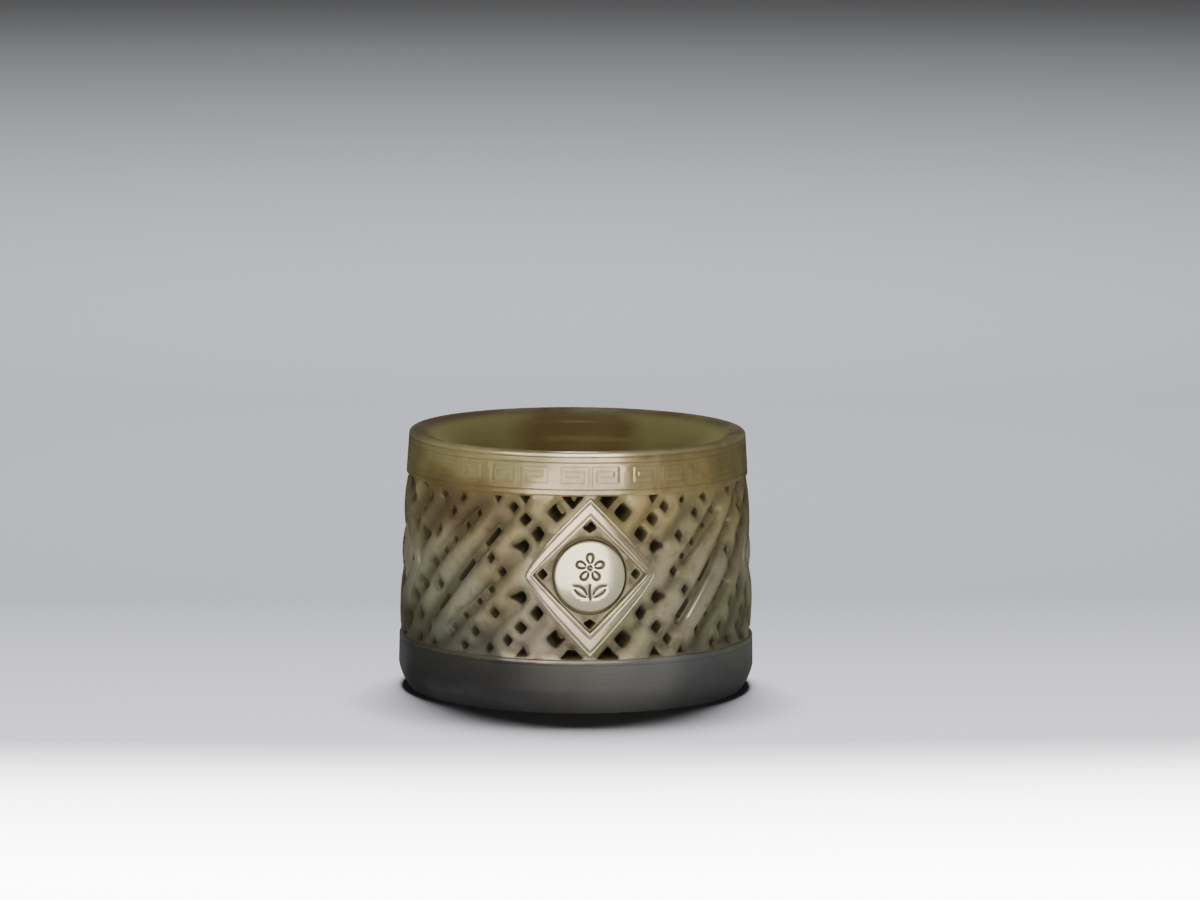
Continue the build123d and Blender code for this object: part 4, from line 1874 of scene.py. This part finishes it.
@dataclass(frozen=True)
class SoftPanel:
    """A flat studio light. Places and sizes are in millimetres."""

    name: str
    place: tuple[float, float, float]
    aim: tuple[float, float, float]
    width: float
    height: float
    radiance: float
    use: LampUse = LampUse.RING

    def hang(self, ring: bpy.types.Object, floor: bpy.types.Object) -> None:
        """Makes the light, with its power worked out from how bright its face is.

        Args:
            ring: the ring on the floor.
            floor: the floor.
        """
        light = bpy.data.lights.new(self.name, "AREA")
        light.shape = "RECTANGLE"
        light.size, light.size_y = self.width * MM, self.height * MM
        light.color = srgb(SHINE_TINT)[:3] if self.use is LampUse.SHINE else (1.0, 1.0, 1.0)
        light.energy = self.radiance * math.pi * light.size * light.size_y
        obj = bpy.data.objects.new(self.name, light)
        obj.location = Vector(self.place) * MM
        obj.rotation_euler = (Vector(self.aim) - Vector(self.place)).to_track_quat("-Z", "Y").to_euler()
        obj.visible_camera = False
        obj.visible_glossy = self.use is not LampUse.GLOW
        obj.visible_diffuse = self.use is not LampUse.SHINE
        bpy.context.scene.collection.objects.link(obj)
        lit = bpy.data.collections.new(self.name + "_lit")
        lit.objects.link(floor if self.use is LampUse.FLOOR else ring)
        obj.light_linking.receiver_collection = lit


@dataclass(frozen=True)
class Studio:
    """The floor with painted light on it, the soft lights and the camera."""

    panels: tuple[SoftPanel, ...] = (
        SoftPanel("front_panel", (-26.5, -140.0, 60.0), (-26.5, 0.0, 60.0), 240.0, 200.0, 1.15),
        SoftPanel("front_shine", (-63.0, -140.5, 61.0), (-63.0, 0.0, 61.0), 284.0, 216.0, 28.0,
                  LampUse.SHINE),
        SoftPanel("halo_shine", (-63.0, -141.0, 61.0), (-63.0, 0.0, 61.0), 334.0, 264.0, 5.0, LampUse.SHINE),
        SoftPanel("hole_glow", (0.0, 0.0, 18.5), (0.0, 0.0, 0.0), 14.0, 14.0, 8.0, LampUse.GLOW),
        SoftPanel("bore_glow", (0.0, -6.0, 8.0), (0.0, 8.0, 8.0), 12.0, 9.0, 8.0, LampUse.GLOW),
        SoftPanel("shadow_fill", (0.0, -553.0, 99.6), (0.0, 0.0, 12.0), 60.0, 60.0, 170.0, LampUse.FLOOR),
        SoftPanel("sky_glow", (0.0, 0.0, 320.0), (0.0, 0.0, 0.0), 400.0, 400.0, 0.6, LampUse.GLOW),
        SoftPanel("lens_glow", (0.0, -553.0, 99.6), (0.0, 0.0, 12.0), 60.0, 60.0, 80.0, LampUse.GLOW),
        SoftPanel("floor_glow", (0.0, 0.0, 10.0), (0.0, 0.0, 0.0), 14.0, 14.0, 2.0, LampUse.FLOOR),
        SoftPanel("left_fill", (-520.0, 160.0, 150.0), (0.0, 0.0, 12.0), 420.0, 300.0, 0.12, LampUse.GLOW),
        SoftPanel("right_fill", (520.0, 160.0, 150.0), (0.0, 0.0, 12.0), 420.0, 300.0, 0.4, LampUse.GLOW),
        SoftPanel("back_fill", (0.0, 600.0, 120.0), (0.0, 0.0, 12.0), 500.0, 240.0, 2.5, LampUse.GLOW),
        SoftPanel("top_lamp", (0.0, 195.0, 480.0), (0.0, 0.0, 0.0), 70.0, 50.0, 110.0),
        SoftPanel("floor_lamp", (0.0, 195.0, 480.0), (0.0, 195.0, 0.0), 210.0, 150.0, 580.0, LampUse.FLOOR),
    )
    camera_distance: float = 560.0
    camera_drop: float = 9.0
    camera_roll: float = 0.4
    target_level: float = 12.0
    lens: float = 180.6
    sensor: float = 36.0
    image_width: float = 1200.0
    right_of_centre: float = 23.5
    above_centre: float = 106.3
    sky: str = "8a8d90"
    sky_strength: float = 0.5
    floor_half: float = 3000.0
    floor_light_lean: float = 0.1
    floor_roughness: float = 0.9

    # Painted light on the floor: tones from behind the ring to the viewer, by distance from the ring's
    # axis, darkest round the ring and pale in a band in front of it
    floor_painted_light: tuple[tuple[float, str], ...] = (
        (980.0, "3b3b3c"), (800.0, "404142"), (667.0, "3e3f41"), (460.0, "37393b"), (200.0, "2a2b2e"),
        (47.0, "2c2d30"), (-9.0, "424245"), (-30.0, "48484b"), (-38.0, "626265"), (-55.0, "aaaaad"),
        (-88.0, "ededef"), (-140.0, "eeeef0"), (-190.0, "6b6b6d"),
    )

    def lay_floor(self) -> bpy.types.Object:
        """Makes the floor, a matt sheet with painted light: paler towards the viewer, its ramp shifted on
        the right.

        Returns:
            The floor.
        """
        mesh = bpy.data.meshes.new("studio_floor")
        half = self.floor_half * MM
        corners = [(-half, -half, 0.0), (half, -half, 0.0), (half, half, 0.0), (-half, half, 0.0)]
        mesh.from_pydata(corners, [], [(0, 1, 2, 3)])
        floor = bpy.data.objects.new("studio_floor", mesh)
        bpy.context.scene.collection.objects.link(floor)
        material = bpy.data.materials.new("matt_paper")
        material.use_nodes = True
        material.node_tree.nodes.clear()
        bench = NodeBench(material.node_tree)
        place = bench.add("ShaderNodeTexCoord").outputs["Object"]
        split = bench.add("ShaderNodeSeparateXYZ", {0: place}).outputs
        aside = bench.add("ShaderNodeMath", {0: split["X"], 1: 0.0}, operation="MAXIMUM")
        lean = {0: aside, 1: -self.floor_light_lean, 2: split["Y"]}
        away = bench.add("ShaderNodeMath", lean, operation="MULTIPLY_ADD")
        tones = sorted(self.floor_painted_light)
        near, far = tones[0][0], tones[-1][0]
        share = bench.add("ShaderNodeMapRange", {"Value": away, "From Min": near * MM, "From Max": far * MM})
        ramp = bench.add("ShaderNodeValToRGB", {"Fac": share})
        stops = ramp.color_ramp.elements
        for distance, _ in tones[1:-1]:
            stops.new((distance - near) / (far - near))
        for stop, (_, tone) in zip(stops, tones):
            stop.color = srgb(tone)
        paper = {"Base Color": ramp, "Roughness": self.floor_roughness, "Specular IOR Level": 0.1}
        shader = bench.add("ShaderNodeBsdfPrincipled", paper)
        bench.add("ShaderNodeOutputMaterial", {"Surface": shader})
        mesh.materials.append(material)
        floor.visible_glossy = False
        return floor

    def light(self, ring: bpy.types.Object, floor: bpy.types.Object) -> None:
        """Hangs the lights and sets the grey room, which only reflections show.

        Args:
            ring: the ring on the floor.
            floor: the floor.
        """
        for panel in self.panels:
            panel.hang(ring, floor)
        world = bpy.data.worlds.new("grey_room")
        world.use_nodes = True
        background = world.node_tree.nodes["Background"]
        background.inputs["Color"].default_value = srgb(self.sky)
        background.inputs["Strength"].default_value = self.sky_strength
        bpy.context.scene.world = world
        world.cycles_visibility.diffuse = False

    def place_camera(self) -> None:
        """Sets the camera at the photograph's height and framing."""
        camera = bpy.data.cameras.new("studio_camera")
        camera.sensor_fit = "HORIZONTAL"
        camera.sensor_width, camera.lens = self.sensor, self.lens
        camera.clip_start, camera.clip_end = 0.01, 20.0
        camera.shift_x = self.right_of_centre / self.image_width
        camera.shift_y = self.above_centre / self.image_width
        obj = bpy.data.objects.new("studio_camera", camera)
        drop = math.radians(self.camera_drop)
        away, up = self.camera_distance * math.cos(drop), self.camera_distance * math.sin(drop)
        tilt = Matrix.Rotation(math.pi / 2 - drop, 4, "X")
        tilt = tilt @ Matrix.Rotation(math.radians(self.camera_roll), 4, "Z")
        obj.matrix_world = Matrix.Translation(Vector((0.0, -away, self.target_level + up)) * MM) @ tilt
        bpy.context.scene.collection.objects.link(obj)
        bpy.context.scene.camera = obj

    def set_up(self, ring: bpy.types.Object) -> None:
        """Makes the whole studio.

        Args:
            ring: the ring on the floor.
        """
        self.place_camera()
        self.light(ring, self.lay_floor())
        log.info("studio: floor, %d soft panels, camera", len(self.panels))


def main() -> None:
    """Builds the ring and the studio."""
    ring = ThumbRing(TurnedForm.from_frame(), LozengePlan(), JadeFinish()).build()
    Studio().set_up(ring)


if __name__ == "__main__":
    main()
